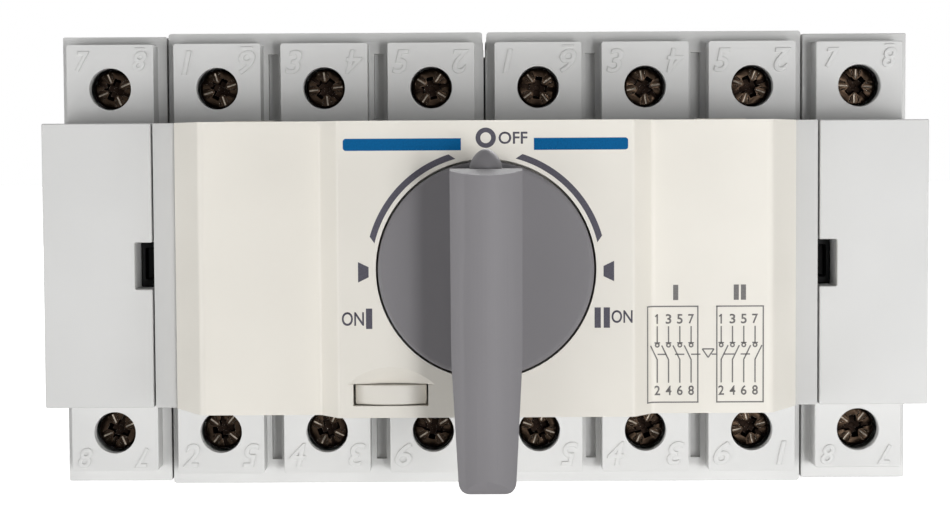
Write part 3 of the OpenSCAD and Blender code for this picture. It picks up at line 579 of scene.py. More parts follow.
def pointer_plastic():
    """The same grey polyamide, a shade darker, with less grain and a little more gloss."""
    return moulded_plastic("polyamide_moulded_pointer_grey", shade(settings().colours.handle, 0.92),
                           grain_mm=0.3, strength=0.1, roughness=0.42, specular=0.3)


def black_plastic():
    """Black polyamide of clips and rail latches: deep, satin, hardly any grain."""
    return moulded_plastic("polyamide_moulded_black", linear("#0D0D0E"),
                           grain_mm=0.4, strength=0.12, roughness=0.5, specular=0.15)


def carriage_plastic():
    """Dark blue-grey thermoset of the contact carriages, dull from its mineral filler."""
    return moulded_plastic("thermoset_moulded_dark", linear("#2F3A45"),
                           grain_mm=0.3, strength=0.3, roughness=0.62)


def gear_plastic():
    """Natural white acetal of gears and rotors, waxy and smooth."""
    return moulded_plastic("acetal_moulded_natural", linear("#E4E0D2"),
                           grain_mm=0.3, strength=0.08, roughness=0.38)


def printed_ink(name, colour):
    """Pad-printed ink: thin, even and satin, with tiny pinholes where the grain shows through."""
    material, tree = new_material(name)
    place = add(tree, "ShaderNodeTexCoord").outputs["Object"]
    speck = add(tree, "ShaderNodeTexNoise", {"Vector": place, "Scale": 1 / (SPECK_MM * MM), "Detail": 2.0})
    tone = add(tree, "ShaderNodeValToRGB", {"Fac": speck.outputs["Fac"]},
               [(0.32, shade(colour, 0.88)), (0.68, shade(colour, 1.1))])
    shader = add(tree, "ShaderNodeBsdfPrincipled",
                 {"Base Color": tone.outputs["Color"], "Roughness": 0.6, "Specular IOR Level": 0.08})
    finish_material(tree, shader)
    return material


def turned_metal(name, colour, roughness, scratch_mm=0.12, strength=0.2):
    """Cut or pressed metal with fine tool marks and a plated tone that varies from spot to spot."""
    material, tree = new_material(name)
    place = add(tree, "ShaderNodeTexCoord").outputs["Object"]
    marks = add(tree, "ShaderNodeTexNoise",
                {"Vector": place, "Scale": 1 / (scratch_mm * MM), "Detail": 4.0})
    stain = add(tree, "ShaderNodeTexNoise", {"Vector": place, "Scale": 1 / (STAIN_MM * MM), "Detail": 3.0})
    tone = add(tree, "ShaderNodeValToRGB", {"Fac": stain.outputs["Fac"]},
               [(0.35, shade(colour, 0.72)), (0.7, shade(colour, 1.12))])
    gloss = add(tree, "ShaderNodeMapRange",
                {"Value": marks.outputs["Fac"], "From Min": NOISE_LOW, "From Max": NOISE_HIGH,
                 "To Min": roughness - 0.08, "To Max": roughness + 0.1})
    bump = add(tree, "ShaderNodeBump", {"Height": marks.outputs["Fac"], "Strength": strength,
                                        "Distance": SCRATCH_DEPTH})
    shader = add(tree, "ShaderNodeBsdfPrincipled",
                 {"Base Color": tone.outputs["Color"], "Metallic": 1.0,
                  "Roughness": gloss.outputs["Result"], "Normal": bump.outputs["Normal"]})
    finish_material(tree, shader)
    return material


def screw_steel():
    """Steel terminal screws with a dark bronze passivation: nearly black where they mirror the room."""
    return turned_metal("steel_forged_bronze_passivated", linear("#31271F"), roughness=0.27,
                        scratch_mm=0.10, strength=0.35)


def screw_recess_shade_steel():
    """The same screws, painted darker and duller in their cross recess: painted shade where light hardly
    reaches.
    """
    return turned_metal("steel_recess_painted_shade", linear("#1B1410"), roughness=0.42,
                        scratch_mm=0.15, strength=0.3)


def screw_glint_steel():
    """The same screws, painted bright along their edges and marks: a painted highlight that stands in for the
    glints of light on them.
    """
    return turned_metal("steel_painted_glint_bright", linear("#EFE7DD"), roughness=0.24,
                        scratch_mm=0.10)


def zinc_steel():
    """Bright zinc-plated steel of the fixing screws."""
    return turned_metal("steel_zinc_plated", linear("#B9BBBE"), roughness=0.34)


def cage_steel():
    """Yellow-passivated pressed steel of the clamp cages."""
    return turned_metal("steel_pressed_yellow_passivated", linear("#B7AF98"), roughness=0.36)


def spring_steel():
    """Drawn spring steel: fine and bright, with faint drawing marks."""
    return turned_metal("steel_drawn_spring", linear("#A9ACB0"), roughness=0.26, scratch_mm=0.08)


def arc_steel():
    """Copper-flashed steel sheet of the arc plates, dull and slightly brown."""
    return turned_metal("steel_sheet_copper_flashed", linear("#8E8179"), roughness=0.45)


def cast_zinc():
    """Die-cast zinc of the toothed bar, grey with a cast skin."""
    return turned_metal("zinc_die_cast", linear("#8D9296"), roughness=0.48, scratch_mm=0.3, strength=0.3)


def contact_copper():
    """Rolled copper strip, bright and warm, with rolling marks."""
    return turned_metal("copper_rolled", linear("#C88A62"), roughness=0.28, scratch_mm=0.15)


# Pieces

class SWITCH_OT_housings(bpy.types.Operator):
    """Contact housings with rounded moulded edges"""

    bl_idname = "switch.housings"
    bl_label = "Contact housings"

    def execute(self, context):
        plastic, cap = housing_plastic(), shaded_cap_plastic()
        edge = settings().sizes.housing_edge
        for side in SIDES:
            for stem in ("housing", "front", "nose"):
                # The switches' noses take the darker cap plastic, whose darkness is painted shade.
                softened(f"{stem}_{side}", edge, cap if stem == "nose" else plastic)
                softened(f"extra_{stem}_{side}", edge, plastic)
        return {"FINISHED"}


class SWITCH_OT_rear(bpy.types.Operator):
    """Rear trays with the rail slot, rail latches and their springs"""

    bl_idname = "switch.rear"
    bl_label = "Rear trays and latches"

    def execute(self, context):
        tray, black, spring, zinc = tray_plastic(), black_plastic(), spring_steel(), zinc_steel()
        edge = settings().sizes.housing_edge
        for side in SIDES:
            softened(f"base_{side}", edge, tray)
            softened(f"extra_base_{side}", edge, tray)
            softened(f"rail_latch_{side}", edge, black)
            softened(f"joining_clip_{side}", edge, black)
            latch_coil(side, spring)
        paint(frame["nodes"]["housing_screws"], zinc)
        return {"FINISHED"}


COIL_BEND = 60    # a coil has few sides, so it is shaded smooth up to this many degrees


def latch_coil(side, steel):
    """The spring of a rail latch, shaded smooth, with a mesh of its own."""
    node = f"latch_spring_{side}"
    coil, body = merged_copy(node, "coil")
    smooth(coil, COIL_BEND)
    paint(coil, steel)
    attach(coil, body)
    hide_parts(node)
    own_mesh(coil)


TAB_EDGE = 0.2 * MM    # radius of the padlock tab's edges


class SWITCH_OT_cover(bpy.types.Operator):
    """Cream mechanism cover and the padlock tab"""

    bl_idname = "switch.cover"
    bl_label = "Cover and padlock tab"

    def execute(self, context):
        softened("mechanism_cover", settings().sizes.cover_edge, cover_plastic(), segments=3, least_bend=14)
        softened("lock_tab", TAB_EDGE, tab_plastic())
        return {"FINISHED"}


class SWITCH_OT_handle(bpy.types.Operator):
    """Turning handle with its pointer"""

    bl_idname = "switch.handle"
    bl_label = "Handle"

    def execute(self, context):
        softened("handle", settings().sizes.grip_edge, handle_plastic(), segments=4, least_bend=30)
        pointer_bell(pointer_plastic())
        return {"FINISHED"}


DRUM = 0.1    # share of the pointer's height up to which it is a plain drum
# Its outline above that: share of its height, share of its radius
BELL = ((0.28, 0.955), (0.46, 0.86), (0.62, 0.74), (0.76, 0.59), (0.87, 0.43), (0.95, 0.26), (1.0, 0.09))


def pointer_bell(material):
    """The pointer on the grip's end: a short drum whose top is drawn in to a bell."""
    low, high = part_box("pointer")
    middle, radius, height = (low + high) / 2, (high.x - low.x) / 2, high.z - low.z
    drum = DRUM * height
    deselect()
    bpy.ops.mesh.primitive_cylinder_add(vertices=48, radius=radius, depth=drum,
                                        location=(middle.x, middle.y, low.z + drum / 2))
    bell = settle(bpy.context.object)
    bell.name = "pointer_bell"
    open_mesh(bell)
    level, width = drum, 1.0
    for rise, share in BELL:
        top = low.z + level
        edit_select(bell, "FACE", lambda f, top=top: f.normal.z > FACING
                    and abs(f.calc_center_median().z - top) < CLOSE)
        bpy.ops.mesh.extrude_region_move(TRANSFORM_OT_translate={"value": (0, 0, rise * height - level)})
        bpy.ops.transform.resize(value=(share / width, share / width, 1),
                                 center_override=(middle.x, middle.y, low.z + rise * height))
        level, width = rise * height, share
    close_mesh()
    smooth(bell)
    paint(bell, material)
    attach(bell, "handle")
    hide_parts("pointer")


def both(ends, *stems):
    """Names of pieces that come in pairs."""
    return [f"{stem}_{end}" for stem in stems for end in ends]


class SWITCH_OT_inner(bpy.types.Operator):
    """Finishes of the mechanism and contacts inside the housings"""

    bl_idname = "switch.inner"
    bl_label = "Inner pieces"

    def execute(self, context):
        finishes = {
            cage_steel(): both(ROWS, "terminal_cages"),
            contact_copper(): both(ROWS, "fixed_contacts") + both(SIDES, "moving_bars"),
            arc_steel(): both(ROWS, "arc_plates"),
            spring_steel(): ["detent_spring"] + both(SIDES, "snap_spring", "bar_springs"),
            zinc_steel(): ["mechanism_screws", "handle_shaft"] + both(SIDES, "coupling_pin"),
            cast_zinc(): ["transfer_rack"],
            gear_plastic(): ["drive_gear"] + both(SIDES, "rotor", "rotor_gear"),
            carriage_plastic(): both(SIDES, "carriage", "extra_carriage"),
            tray_plastic(): ["mechanism_base"],
        }
        for material, nodes in finishes.items():
            for node in nodes:
                paint(frame["nodes"][node], material)
        return {"FINISHED"}


# Terminal screws: the head is a little wider than the CAD's, as in the photo it nearly fills its well
HEAD_R = (SCREW_HIGH.x - SCREW_LOW.x - (POLES - 1) * POLE_PITCH) / 2 + 0.12 * MM
HEAD_H = 3.2 * MM
HEAD_BACK_Y = HEAD_Y + HEAD_H
RIM, RIM_DROP = mm(0.32, 0.15)    # width and depth of the slope round the head
SLOT_LENGTH, SLOT_DEPTH = mm(8, 1.1)
ARM_WIDTH, ARM_DEPTH = mm(1.3, 2.1)
ARMS = ((4.0 * MM, 0, 0.62), (4.8 * MM, 90, 0.55))    # length, turn in degrees and taper of each pair
FLOOR_WIDTH = 0.82    # of a slot or arm, as a share of the width above it
CONE_R, CONE_DEPTH = mm(1.2, 2.3)
CONE_TIP, CONE_MOUTH = 0.4, 1.3    # shares of its radius at both ends
MARK = mm(1.25, 2.75, 0.26)    # start, end and width of the marks between the arms
CREASE = mm(1.7, 2.75, 0.18)    # and of the creases beside them
CREASE_TURN = 17    # degrees from mark to crease
GLINT_EDGE, GLINT_BEND = 0.06 * MM, math.radians(35)    # width, and the least bend of an edge, of the bevels painted bright as painted glints
SCREW_BEND = 32    # the screws are shaded smooth up to this many degrees
SHANK_R, SHANK_ROUNDING = mm(2.45, 0.4)
THREAD_START, THREAD_END = HEAD_BACK_Y + 1.6 * MM, SCREW_HIGH.y - 0.6 * MM
THREAD_PITCH = 0.8 * MM
THREAD_CORE = 0.86    # share of the shank's radius between two ridges

# How each screw happens to stand, in degrees
UPPER_TURNS = (22, 27, 38, -12, 8, 35, -24, 48)
LOWER_TURNS = (-68, 83, 71, 12, 64, -20, 31, -8)


class SWITCH_OT_screws(bpy.types.Operator):
    """Terminal screws with a cross recess, a slot along one pair of its arms and marks between them"""

    bl_idname = "switch.screws"
    bl_label = "Terminal screws"

    def execute(self, context):
        model = screw_model(screw_steel(), screw_recess_shade_steel(), screw_glint_steel())
        for name, turns, up in (("upper", UPPER_TURNS, 1), ("lower", LOWER_TURNS, -1)):
            copies = []
            for index, turn in enumerate(turns):
                only(model)
                bpy.ops.object.duplicate()
                copy = bpy.context.object
                copy.rotation_euler = (0, math.radians(turn), 0)
                copy.location = (pole_x(index), 0, up * SCREW_Z)
                copies.append(settle(copy))
            screws = smooth(join(f"terminal_screw_set_{name}", copies), SCREW_BEND)
            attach(screws, "case")
            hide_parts(f"terminal_screws_{name}")
        bpy.data.objects.remove(model)
        return {"FINISHED"}


def screw_model(steel, recess_shade_steel, glint_steel):
    """One terminal screw on the y axis, its head at the depth that the CAD gives."""
    return join("terminal_screw_model", [screw_head(steel, recess_shade_steel, glint_steel), screw_shank(steel)])


def screw_head(steel, recess_shade_steel, glint_steel):
    """The head with its sloping rim and its cuts, its marks and edges painted bright as painted highlights,
    its recess painted dark as painted shade.
    """
    head = cylinder_on_y(64, HEAD_R, HEAD_H, HEAD_Y + HEAD_H / 2)
    open_mesh(head)
    edit_select(head, "FACE", lambda f: f.normal.y < -FACING)
    bpy.ops.mesh.inset(thickness=RIM)
    edit_select(head, "VERT", lambda v: math.hypot(v.co.x, v.co.z) > HEAD_R - CLOSE
                and v.co.y < HEAD_Y + CLOSE)
    bpy.ops.transform.translate(value=(0, RIM_DROP, 0))
    close_mesh()
    recess = [cutter_bar(settings().sizes.slot_width, SLOT_LENGTH, SLOT_DEPTH, 0, 1.0)]
    recess += [cutter_bar(ARM_WIDTH, length, ARM_DEPTH, turn, taper) for length, turn, taper in ARMS]
    recess.append(cutter_cone())
    marks = [cutter_tick(45 + 90 * quarter, *MARK) for quarter in range(4)]
    creases = [cutter_tick(45 + 90 * quarter + turn, *CREASE)
               for quarter in range(4) for turn in (-CREASE_TURN, CREASE_TURN)]
    paint(head, steel)
    head.data.materials.append(recess_shade_steel)
    head.data.materials.append(glint_steel)
    # The recess gets dark steel as painted shade, the marks bright steel as painted glints.
    for cutters, cut_steel in ((recess, recess_shade_steel), (marks, glint_steel), (creases, steel)):
        for cutter in cutters:
            paint(cutter, cut_steel)
            modify(head, "BOOLEAN", object=cutter, operation="DIFFERENCE", solver="EXACT",
                   material_mode="TRANSFER")
            bpy.data.objects.remove(cutter)
    # The bevelled edges get the bright steel as painted glints.
    modify(head, "BEVEL", width=GLINT_EDGE, segments=2, limit_method="ANGLE", angle_limit=GLINT_BEND,
           material=head.data.materials.find(glint_steel.name))
    return head


def screw_shank(steel):
    """The threaded shank with its rounded end."""
    shank = cylinder_on_y(32, SHANK_R, SCREW_HIGH.y - SCREW_LOW.y - HEAD_H, (HEAD_BACK_Y + SCREW_HIGH.y) / 2)
    open_mesh(shank)
    edit_select(shank, "FACE", lambda f: f.normal.y > FACING)
    bpy.ops.mesh.bevel(offset=SHANK_ROUNDING, segments=2)
    thread_groove(shank)
    close_mesh()
    paint(shank, steel)
    return shank


def cylinder_on_y(sides, radius, depth, middle_y):
    """A closed cylinder on the y axis."""
    deselect()
    bpy.ops.mesh.primitive_cylinder_add(vertices=sides, radius=radius, depth=depth,
                                        location=(0, middle_y, 0), rotation=(math.pi / 2, 0, 0))
    return settle(bpy.context.object)


def thread_groove(shank):
    """In edit mode, turns the shank's side into the ridges of a coarse thread."""
    count = int((THREAD_END - THREAD_START) / (THREAD_PITCH / 2))
    levels = [THREAD_START + step * THREAD_PITCH / 2 for step in range(count + 1)]
    for level in levels:
        bpy.ops.mesh.select_all(action="SELECT")
        bpy.ops.mesh.bisect(plane_co=(0, level, 0), plane_no=(0, 1, 0))
    for level in levels[1:-1:2]:
        edit_select(shank, "VERT", lambda v, level=level: abs(v.co.y - level) < CLOSE)
        bpy.ops.transform.resize(value=(THREAD_CORE, 1, THREAD_CORE), center_override=(0, level, 0))


def cutter_bar(width, length, depth, turn, taper):
    """A bar that cuts a slot or a pair of arms into the head. Taper is its floor's share of its length."""
    deselect()
    bpy.ops.mesh.primitive_cube_add(size=1, location=(0, HEAD_Y, 0), scale=(length, 2 * depth, width))
    item = settle(bpy.context.object)
    open_mesh(item)
    edit_select(item, "VERT", lambda v: v.co.y > HEAD_Y)
    bpy.ops.transform.resize(value=(taper, 1, FLOOR_WIDTH), center_override=(0, HEAD_Y, 0))
    close_mesh()
    item.rotation_euler = (0, math.radians(turn), 0)
    return settle(item)


def cutter_cone():
    """The cone in the middle of the cross recess."""
    deselect()
    bpy.ops.mesh.primitive_cone_add(vertices=24, radius1=CONE_R * CONE_TIP, radius2=CONE_R * CONE_MOUTH,
                                    depth=2 * CONE_DEPTH, location=(0, HEAD_Y, 0),
                                    rotation=(math.pi / 2, 0, 0))
    return settle(bpy.context.object)


def cutter_tick(turn, start, end, width):
    """A V-shaped radial mark in the screw's head."""
    side = width / math.sqrt(2)
    deselect()
    bpy.ops.mesh.primitive_cube_add(size=1, location=(0, 0, 0), scale=(end - start, side, side))
    item = bpy.context.object
    item.rotation_euler = (math.pi / 4, 0, 0)
    settle(item)
    item.location = ((start + end) / 2, HEAD_Y, 0)
    settle(item)
    item.rotation_euler = (0, math.radians(turn), 0)
    return settle(item)


NUMERAL_ROWS = (    # name, pairs from left to right, height of their middles
    ("upper", ("78", "16", "34", "52", "16", "34", "52", "78"), 32.5 * MM),
    ("lower", ("87", "25", "43", "61", "25", "43", "61", "87"), -32.1 * MM),
)
NUMERAL_X = mm(-4.95, 4.9)    # middles of a pair, from the pole's middle
SEVEN_INWARD = 0.5 * MM    # a 7 stands this much nearer its pole's middle
END_SHARE, END_OUTWARD = 0.84, 0.3 * MM    # the add-on poles' are smaller and nearer the edge
SLANT = 0.22
NARROW, WIDE = 0.42, 0.7    # width of the 1 and of the others, by height
HALF_FLAT, ROUNDED, SET_OUT = 0.35, 0.45, 0.2    # shares of the rise: half the flat side, rounding, middle
UNDERLINE_UP, UNDERLINE_LENGTH, UNDERLINE, UNDERLINE_EDGE = mm(2.45, 1.9, 0.28, 0.08)


class SWITCH_OT_numerals(bpy.types.Operator):
    """Raised numerals on the terminal blocks, the right one of each pair upside down"""

    bl_idname = "switch.numerals"
    bl_label = "Terminal numerals"

    def execute(self, context):
        plastic = housing_plastic()
        for name, pairs, height in NUMERAL_ROWS:
            items = []
            for index, pair in enumerate(pairs):
                at_end = index in (0, POLES - 1)
                share = END_SHARE if at_end else 1.0
                level = height + math.copysign(END_OUTWARD if at_end else 0, height)
                for numeral, across, turned in zip(pair, NUMERAL_X, (False, True)):
                    if numeral == "7":
                        across -= math.copysign(SEVEN_INWARD, across)
                    items.append(raised_numeral(numeral, pole_x(index) + across, level, share, turned))
                    if turned and numeral in "68":
                        items.append(raised_bar(pole_x(index) + across, level + share * UNDERLINE_UP, share))
            numerals = clean_mesh(join(f"terminal_numerals_{name}", items))
            smooth(numerals)
            paint(numerals, plastic)
            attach(numerals, "case")
        return {"FINISHED"}


def raised_numeral(numeral, x, z, share, turned):
    """One slanted numeral that stands off a terminal block with rounded edges."""
    rise = settings().sizes.numeral_rise
    high = settings().sizes.numeral_height * share
    wide = high * (NARROW if numeral == "1" else WIDE)
    item = front_text(numeral, high, SLANT, turned)
    item.data.extrude = rise * HALF_FLAT
    item.data.bevel_depth = rise * ROUNDED
    item.data.bevel_resolution = 2
    return fit_box(solid_text(item), x - wide / 2, x + wide / 2, z - high / 2, z + high / 2,
                   BLOCK_Y - rise * SET_OUT)


def raised_bar(x, z, share):
    """The bar that underlines an upside-down 6 or 8, so that it isn't read the other way up."""
    rise = settings().sizes.numeral_rise
    deselect()
    bpy.ops.mesh.primitive_cube_add(
        size=1, location=(x, BLOCK_Y - rise * SET_OUT, z),
        scale=(share * UNDERLINE_LENGTH, rise * 2 * (HALF_FLAT + ROUNDED), UNDERLINE))
    return modify(settle(bpy.context.object), "BEVEL", width=UNDERLINE_EDGE, segments=2)


# Printed marks, measured on the photo, in millimetres from the handle's axis
BAR_LEVELS = (17.98, 19.8)
BAR_ENDS = ((-3.7, -21.5), (7.3, 21.5))    # inner and outer end of each blue bar
BAR_ROUNDING, CORNER_STEPS = 0.45 * MM, 6
OFF_RING = (0.05, 19.85, 0.82, 1.53)    # x, z, inner and outer radius
POSITION_WORDS = (    # left, right, lower and upper edge
    ("OFF", 1.98, 6.33, 18.9, 20.75),
    ("ON", -21.86, -18.51, -8.47, -6.37),
    ("ON", 18.95, 22.13, -8.23, -6.28),
)
ROMAN_STROKES = ((-18.2, -17.25), (16.38, 17.32), (17.76, 18.7))    # left and right edges, in I and II
ROMAN_LEVELS = (-8.95, -5.85)
WEDGE = ((19.35, 1.2), (19.35, -1.9), (17.75, -1.12), (17.75, 0.42))    # the mark right of the handle
ARC_RADII = (17.3, 18.25)
ARC_START, ARC_END, ARC_SLANT = 15.2, 76.6, 2.6    # degrees


class SWITCH_OT_marks(bpy.types.Operator):
    """Blue bars and grey position marks printed on the cover's middle panel"""

    bl_idname = "switch.marks"
    bl_label = "Position marks"

    def execute(self, context):
        blue = printed_ink("pad_print_blue", settings().colours.ink_blue)
        grey = printed_ink("pad_print_dark_grey", settings().colours.ink_grey)
        bars = [round_ended_bar(*mm(*ends, *BAR_LEVELS)) for ends in BAR_ENDS]
        lay_on_cover("blue_bars", bars, blue)
        lay_on_cover("position_marks", position_marks(), grey)
        return {"FINISHED"}


def round_ended_bar(inner_x, outer_x, low_z, high_z):
    """A printed bar on the middle panel with its two outer corners rounded."""
    way = BAR_ROUNDING if outer_x > inner_x else -BAR_ROUNDING
    corners = [(inner_x, low_z)]
    for z, start in ((low_z + BAR_ROUNDING, -90), (high_z - BAR_ROUNDING, 0)):
        for step in range(CORNER_STEPS + 1):
            angle = math.radians(start + 90 * step / CORNER_STEPS)
            corners.append((outer_x - way * (1 - math.cos(angle)), z + BAR_ROUNDING * math.sin(angle)))
    corners.append((inner_x, high_z))
    return front_sheet(corners)


def position_marks():
    """The ring and words of the three positions, the arcs between them and the marks beside the handle."""
    items = [ring(*mm(*OFF_RING))]
    items += [print_words(words, *mm(*edges)) for words, *edges in POSITION_WORDS]
    items += [bar(*mm(*edges, *ROMAN_LEVELS)) for edges in ROMAN_STROKES]
    for side in (-1, 1):
        items.append(front_sheet([mm(side * x, z) for x, z in WEDGE]))
        start, end = sorted((side * ARC_START, side * ARC_END))
        items.append(arc_band(*mm(*ARC_RADII), start, end, ARC_SLANT))
    return items


# Circuit diagram, measured likewise
BOX_LOW, BOX_HIGH = mm(-20.8, -6.06)
CONTACT_STEP = 1.73 * MM
FRAMES = (    # left and right edge, first contact, lean of the blades
    (24.65, 32.42, 26.2, -1.05),
    (35.33, 42.44, 36.0, 1.05),
)
ODD_Z, EVEN_Z = mm(-7.99, -18.98)    # middles of the numbers
ONE_HALF, NUMBER_HALF, NUMBER_HALF_HIGH = mm(0.11, 0.44, 0.74)
FLAG_X, FLAG_LOW, FLAG_HIGH, FLAG_WIDTH = mm(0.33, 0.36, 0.62, 0.18)    # the flag of a 1
UPPER_LEAD, LOWER_LEAD = mm(-9.1, -11.6), mm(-14.2, -17.8)    # lines over and under a contact
STOP_Z, STOP_HALF = mm(-11.66, 0.43)    # the short bar over a contact's ring
CONTACT_Z, CONTACT_INNER, CONTACT_OUTER = mm(-12.02, 0.16, 0.38)
CONTACT_STEPS = 16
BLADE_TOP, BLADE_FOOT = mm(-12.07, -14.25)
LINK_Z = -13.43 * MM
DASHES = ((26.24, 27.61), (28.91, 30.35), (31.38, 32.82), (34.53, 35.28), (36.38, 38.02), (38.98, 40.42))
TRIANGLE = (34.0, 0.9, -12.62, -13.94)    # middle, half width, top and tip
TITLE_X, TITLE_STROKE = mm(29.03, 38.3, 39.4), 0.78 * MM    # middles and width of the strokes of I and II
TITLE_LEVELS = mm(-5.1, -2.75)


class SWITCH_OT_circuit(bpy.types.Operator):
    """General circuit diagram of two linked four-pole switches, printed on the right flat"""

    bl_idname = "switch.circuit"
    bl_label = "Circuit diagram"

    def execute(self, context):
        items = [item for measures in FRAMES for item in diagram_frame(*mm(*measures))]
        items += diagram_link() + diagram_titles()
        lay_on_cover("circuit_diagram", items, printed_ink("pad_print_light_grey", linear("#7B7978")))
        return {"FINISHED"}


def diagram_frame(low_x, high_x, first_x, lean):
    """One frame with its four contacts, numbers above and below, and blades that lean to one side."""
    half = LINE / 2
    items = [line(low_x - half, z, high_x + half, z) for z in (BOX_LOW, BOX_HIGH)]
    items += [line(x, BOX_LOW, x, BOX_HIGH) for x in (low_x, high_x)]
    for index in range(4):
        x = first_x + index * CONTACT_STEP
        items += [
            diagram_number(str(2 * index + 1), x, ODD_Z),
            diagram_number(str(2 * index + 2), x, EVEN_Z),
            line(x, UPPER_LEAD[0], x, UPPER_LEAD[1]),
            line(x - STOP_HALF, STOP_Z, x + STOP_HALF, STOP_Z),
            ring(x, CONTACT_Z, CONTACT_INNER, CONTACT_OUTER, CONTACT_STEPS),
            line(x + lean, BLADE_TOP, x, BLADE_FOOT),
            line(x, LOWER_LEAD[0], x, LOWER_LEAD[1]),
        ]
    return items


def diagram_number(words, x, z):
    """A small number of the diagram. The built-in 1 is a plain bar, so it gets its flag here."""
    half = ONE_HALF if words == "1" else NUMBER_HALF
    number = print_words(words, x - half, x + half, z - NUMBER_HALF_HIGH, z + NUMBER_HALF_HIGH)
    if words != "1":
        return number
    flag = line(x - FLAG_X, z + FLAG_LOW, x, z + FLAG_HIGH, FLAG_WIDTH)
    return join("number", [number, flag])


def diagram_link():
    """The dashed link through all blades, with the triangle of the interlock between the frames."""
    items = [line(start * MM, LINK_Z, end * MM, LINK_Z) for start, end in DASHES]
    middle, half, top, tip = mm(*TRIANGLE)
    return items + [line(middle - half, top, middle + half, top), line(middle - half, top, middle, tip),
                    line(middle + half, top, middle, tip)]


def diagram_titles():
    """The strokes that number the two frames I and II."""
    return [bar(x - TITLE_STROKE / 2, x + TITLE_STROKE / 2, *TITLE_LEVELS) for x in TITLE_X]


# Stage

WHITE = (1, 1, 1, 1)
FLOOR_SIZE, FLOOR_GAP = 6, 0.05 * MM    # metres across, and clear of the body
GLOW_NEAR, GLOW_FAR = (0.15, 0.82), (0.6, 1.0)    # distance in metres and strength of the floor's glow
WORLD_FILL = 0.12
LAMP_AIM = (0, -0.05, 0)
LAMPS = (    # name, place and size in metres, power in watts
    ("light_front_right", (0.31, -0.85, -0.2), (0.22, 0.6), 2.0),
    ("light_front_left", (-0.40, -0.85, -0.34), (0.35, 0.5), 1.4),
    ("light_glints", (0.165, -0.62, -0.03), (0.07, 0.15), 0.7),
    ("light_right", (0.80, -0.60, -0.18), (0.4, 0.4), 2.45),
    ("light_left", (-0.80, -0.60, -0.18), (0.4, 0.4), 2.45),
    ("light_side_left", (-0.95, -0.32, -0.15), (0.4, 0.5), 1.9),
    ("light_behind", (0.25, 0.70, 0.62), (0.9, 0.6), 7.5),
)
# The camera as fitted to the photo: place, downward pitch, roll and yaw in radians, focal length in pixels
CAMERA_PLACE = mm(-0.952, -380.77, 17.92)
CAMERA_PITCH, CAMERA_ROLL, CAMERA_YAW = 0.0515, 0.0053, 0.002
FOCAL_PX, PHOTO_WIDTH_PX = 2053.7, 950
SENSOR = 36


class SWITCH_OT_stage(bpy.types.Operator):
    """Pale floor, soft lights and the camera of the photograph"""

    bl_idname = "switch.stage"
    bl_label = "Stage"

    def execute(self, context):
        make_floor()
        make_world()
        for lamp in LAMPS:
            soft_light(*lamp)
        make_camera()
        context.scene.view_settings.view_transform = "Standard"
        return {"FINISHED"}


def make_floor():
    """A large pale sheet under the object, which glows white to the camera and lets the lamps through."""
    deselect()
    bpy.ops.mesh.primitive_plane_add(size=FLOOR_SIZE, location=(0, 0, CAD_BOX[0][2] - FLOOR_GAP))
    floor = bpy.context.object
    floor.name = "floor"
    material, tree = new_material("paper_floor_white")
    paper = add(tree, "ShaderNodeBsdfPrincipled", {"Base Color": linear("#F4F4F3"), "Roughness": 0.9})
    place = add(tree, "ShaderNodeTexCoord").outputs["Object"]
    away = add(tree, "ShaderNodeVectorMath", {0: place}, operation="LENGTH")
    near = add(tree, "ShaderNodeMapRange", {"Value": away.outputs["Value"],
                                            "From Min": GLOW_NEAR[0], "From Max": GLOW_FAR[0],
                                            "To Min": GLOW_NEAR[1], "To Max": GLOW_FAR[1]})
    white = add(tree, "ShaderNodeEmission", {"Color": WHITE, "Strength": near.outputs["Result"]})
    lit = add(tree, "ShaderNodeAddShader", {0: paper.outputs[0], 1: white.outputs[0]})
    seen = add(tree, "ShaderNodeMixShader", {0: directly_seen(tree), 1: paper.outputs[0], 2: lit.outputs[0]})
    clear = add(tree, "ShaderNodeBsdfTransparent")
    path = add(tree, "ShaderNodeLightPath")
    both = add(tree, "ShaderNodeMixShader", {0: path.outputs["Is Shadow Ray"], 1: seen.outputs[0],
                                             2: clear.outputs[0]})
    finish_material(tree, both)
    paint(floor, material)


def directly_seen(tree):
    """One for rays from the camera, from gloss and through clear pieces, so that these see a white ground."""
    path = add(tree, "ShaderNodeLightPath")
    total = path.outputs["Is Camera Ray"]
    for kind in ("Is Glossy Ray", "Is Transmission Ray"):
        total = add(tree, "ShaderNodeMath", {0: total, 1: path.outputs[kind]},
                    operation="ADD", use_clamp=True).outputs[0]
    return total


def make_world():
    """White to the camera and in reflections, softer as light on the object."""
    world = bpy.data.worlds.new("studio")
    bpy.context.scene.world = world
    world.use_nodes = True
    tree = world.node_tree
    tree.nodes.clear()
    fill = add(tree, "ShaderNodeBackground", {"Color": WHITE, "Strength": WORLD_FILL})
    white = add(tree, "ShaderNodeBackground", {"Color": WHITE, "Strength": 1.0})
    mix = add(tree, "ShaderNodeMixShader", {0: directly_seen(tree), 1: fill.outputs[0], 2: white.outputs[0]})
    add(tree, "ShaderNodeOutputWorld", {"Surface": mix.outputs[0]})


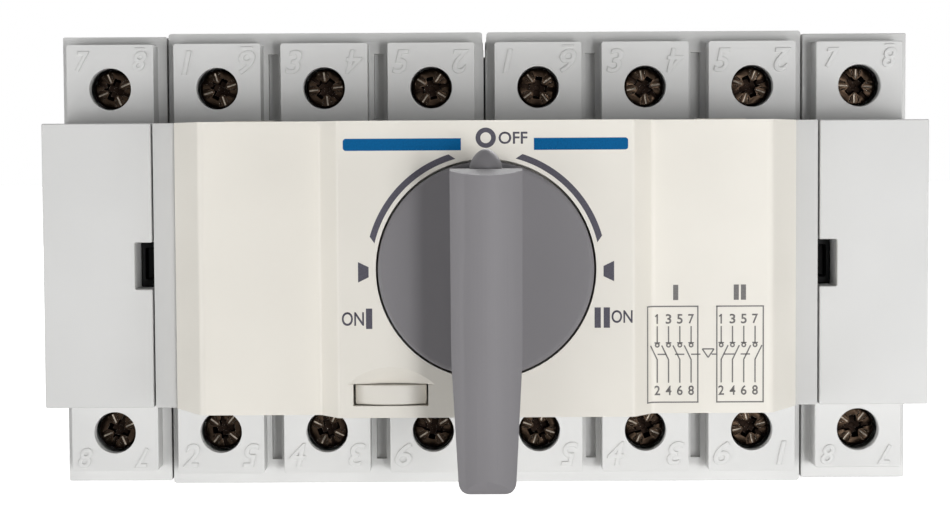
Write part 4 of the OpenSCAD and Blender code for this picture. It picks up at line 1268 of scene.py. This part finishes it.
def soft_light(name, place, size, power):
    """A rectangular soft box aimed at the object's middle."""
    deselect()
    bpy.ops.object.light_add(type="AREA", location=place)
    lamp = bpy.context.object
    lamp.name = name
    lamp.data.shape = "RECTANGLE"
    lamp.data.size, lamp.data.size_y = size
    lamp.data.energy = power
    aim = Vector(LAMP_AIM) - Vector(place)
    lamp.rotation_euler = aim.to_track_quat("-Z", "Y").to_euler()


def make_camera():
    """The photograph's viewpoint: in front, a little above the middle, looking slightly down."""
    deselect()
    bpy.ops.object.camera_add(location=CAMERA_PLACE)
    camera = bpy.context.object
    camera.name = "photo_camera"
    camera.data.sensor_fit = "HORIZONTAL"
    camera.data.sensor_width = SENSOR
    camera.data.lens = SENSOR * FOCAL_PX / PHOTO_WIDTH_PX
    camera.data.clip_start = 0.01
    camera.rotation_euler = (math.pi / 2 - CAMERA_PITCH, CAMERA_ROLL, CAMERA_YAW)
    bpy.context.scene.camera = camera


class SWITCH_PT_panel(bpy.types.Panel):
    """Lists the steps that build the switch"""

    bl_idname = "SWITCH_PT_panel"
    bl_label = "Changeover switch"
    bl_space_type = "VIEW_3D"
    bl_region_type = "UI"
    bl_category = "Switch"

    def draw(self, context):
        for group in (context.scene.switch.sizes, context.scene.switch.colours):
            column = self.layout.column()
            for name in group.__annotations__:
                column.prop(group, name)
        for operator in STEPS:
            self.layout.operator(operator.bl_idname)


STEPS = (SWITCH_OT_housings, SWITCH_OT_rear, SWITCH_OT_cover, SWITCH_OT_handle, SWITCH_OT_inner,
         SWITCH_OT_screws, SWITCH_OT_numerals, SWITCH_OT_marks, SWITCH_OT_circuit, SWITCH_OT_stage)
CLASSES = (SwitchSizes, SwitchColours, SwitchSettings) + STEPS + (SWITCH_PT_panel,)


def register():
    for item in CLASSES:
        bpy.utils.register_class(item)
    bpy.types.Scene.switch = bpy.props.PointerProperty(type=SwitchSettings)


def unregister():
    del bpy.types.Scene.switch
    for item in reversed(CLASSES):
        bpy.utils.unregister_class(item)


def main():
    """Builds the pieces in order."""
    register()
    for operator in STEPS:
        getattr(bpy.ops.switch, operator.bl_idname.split(".")[1])()
    bpy.context.view_layer.update()


if __name__ == "__main__":
    main()
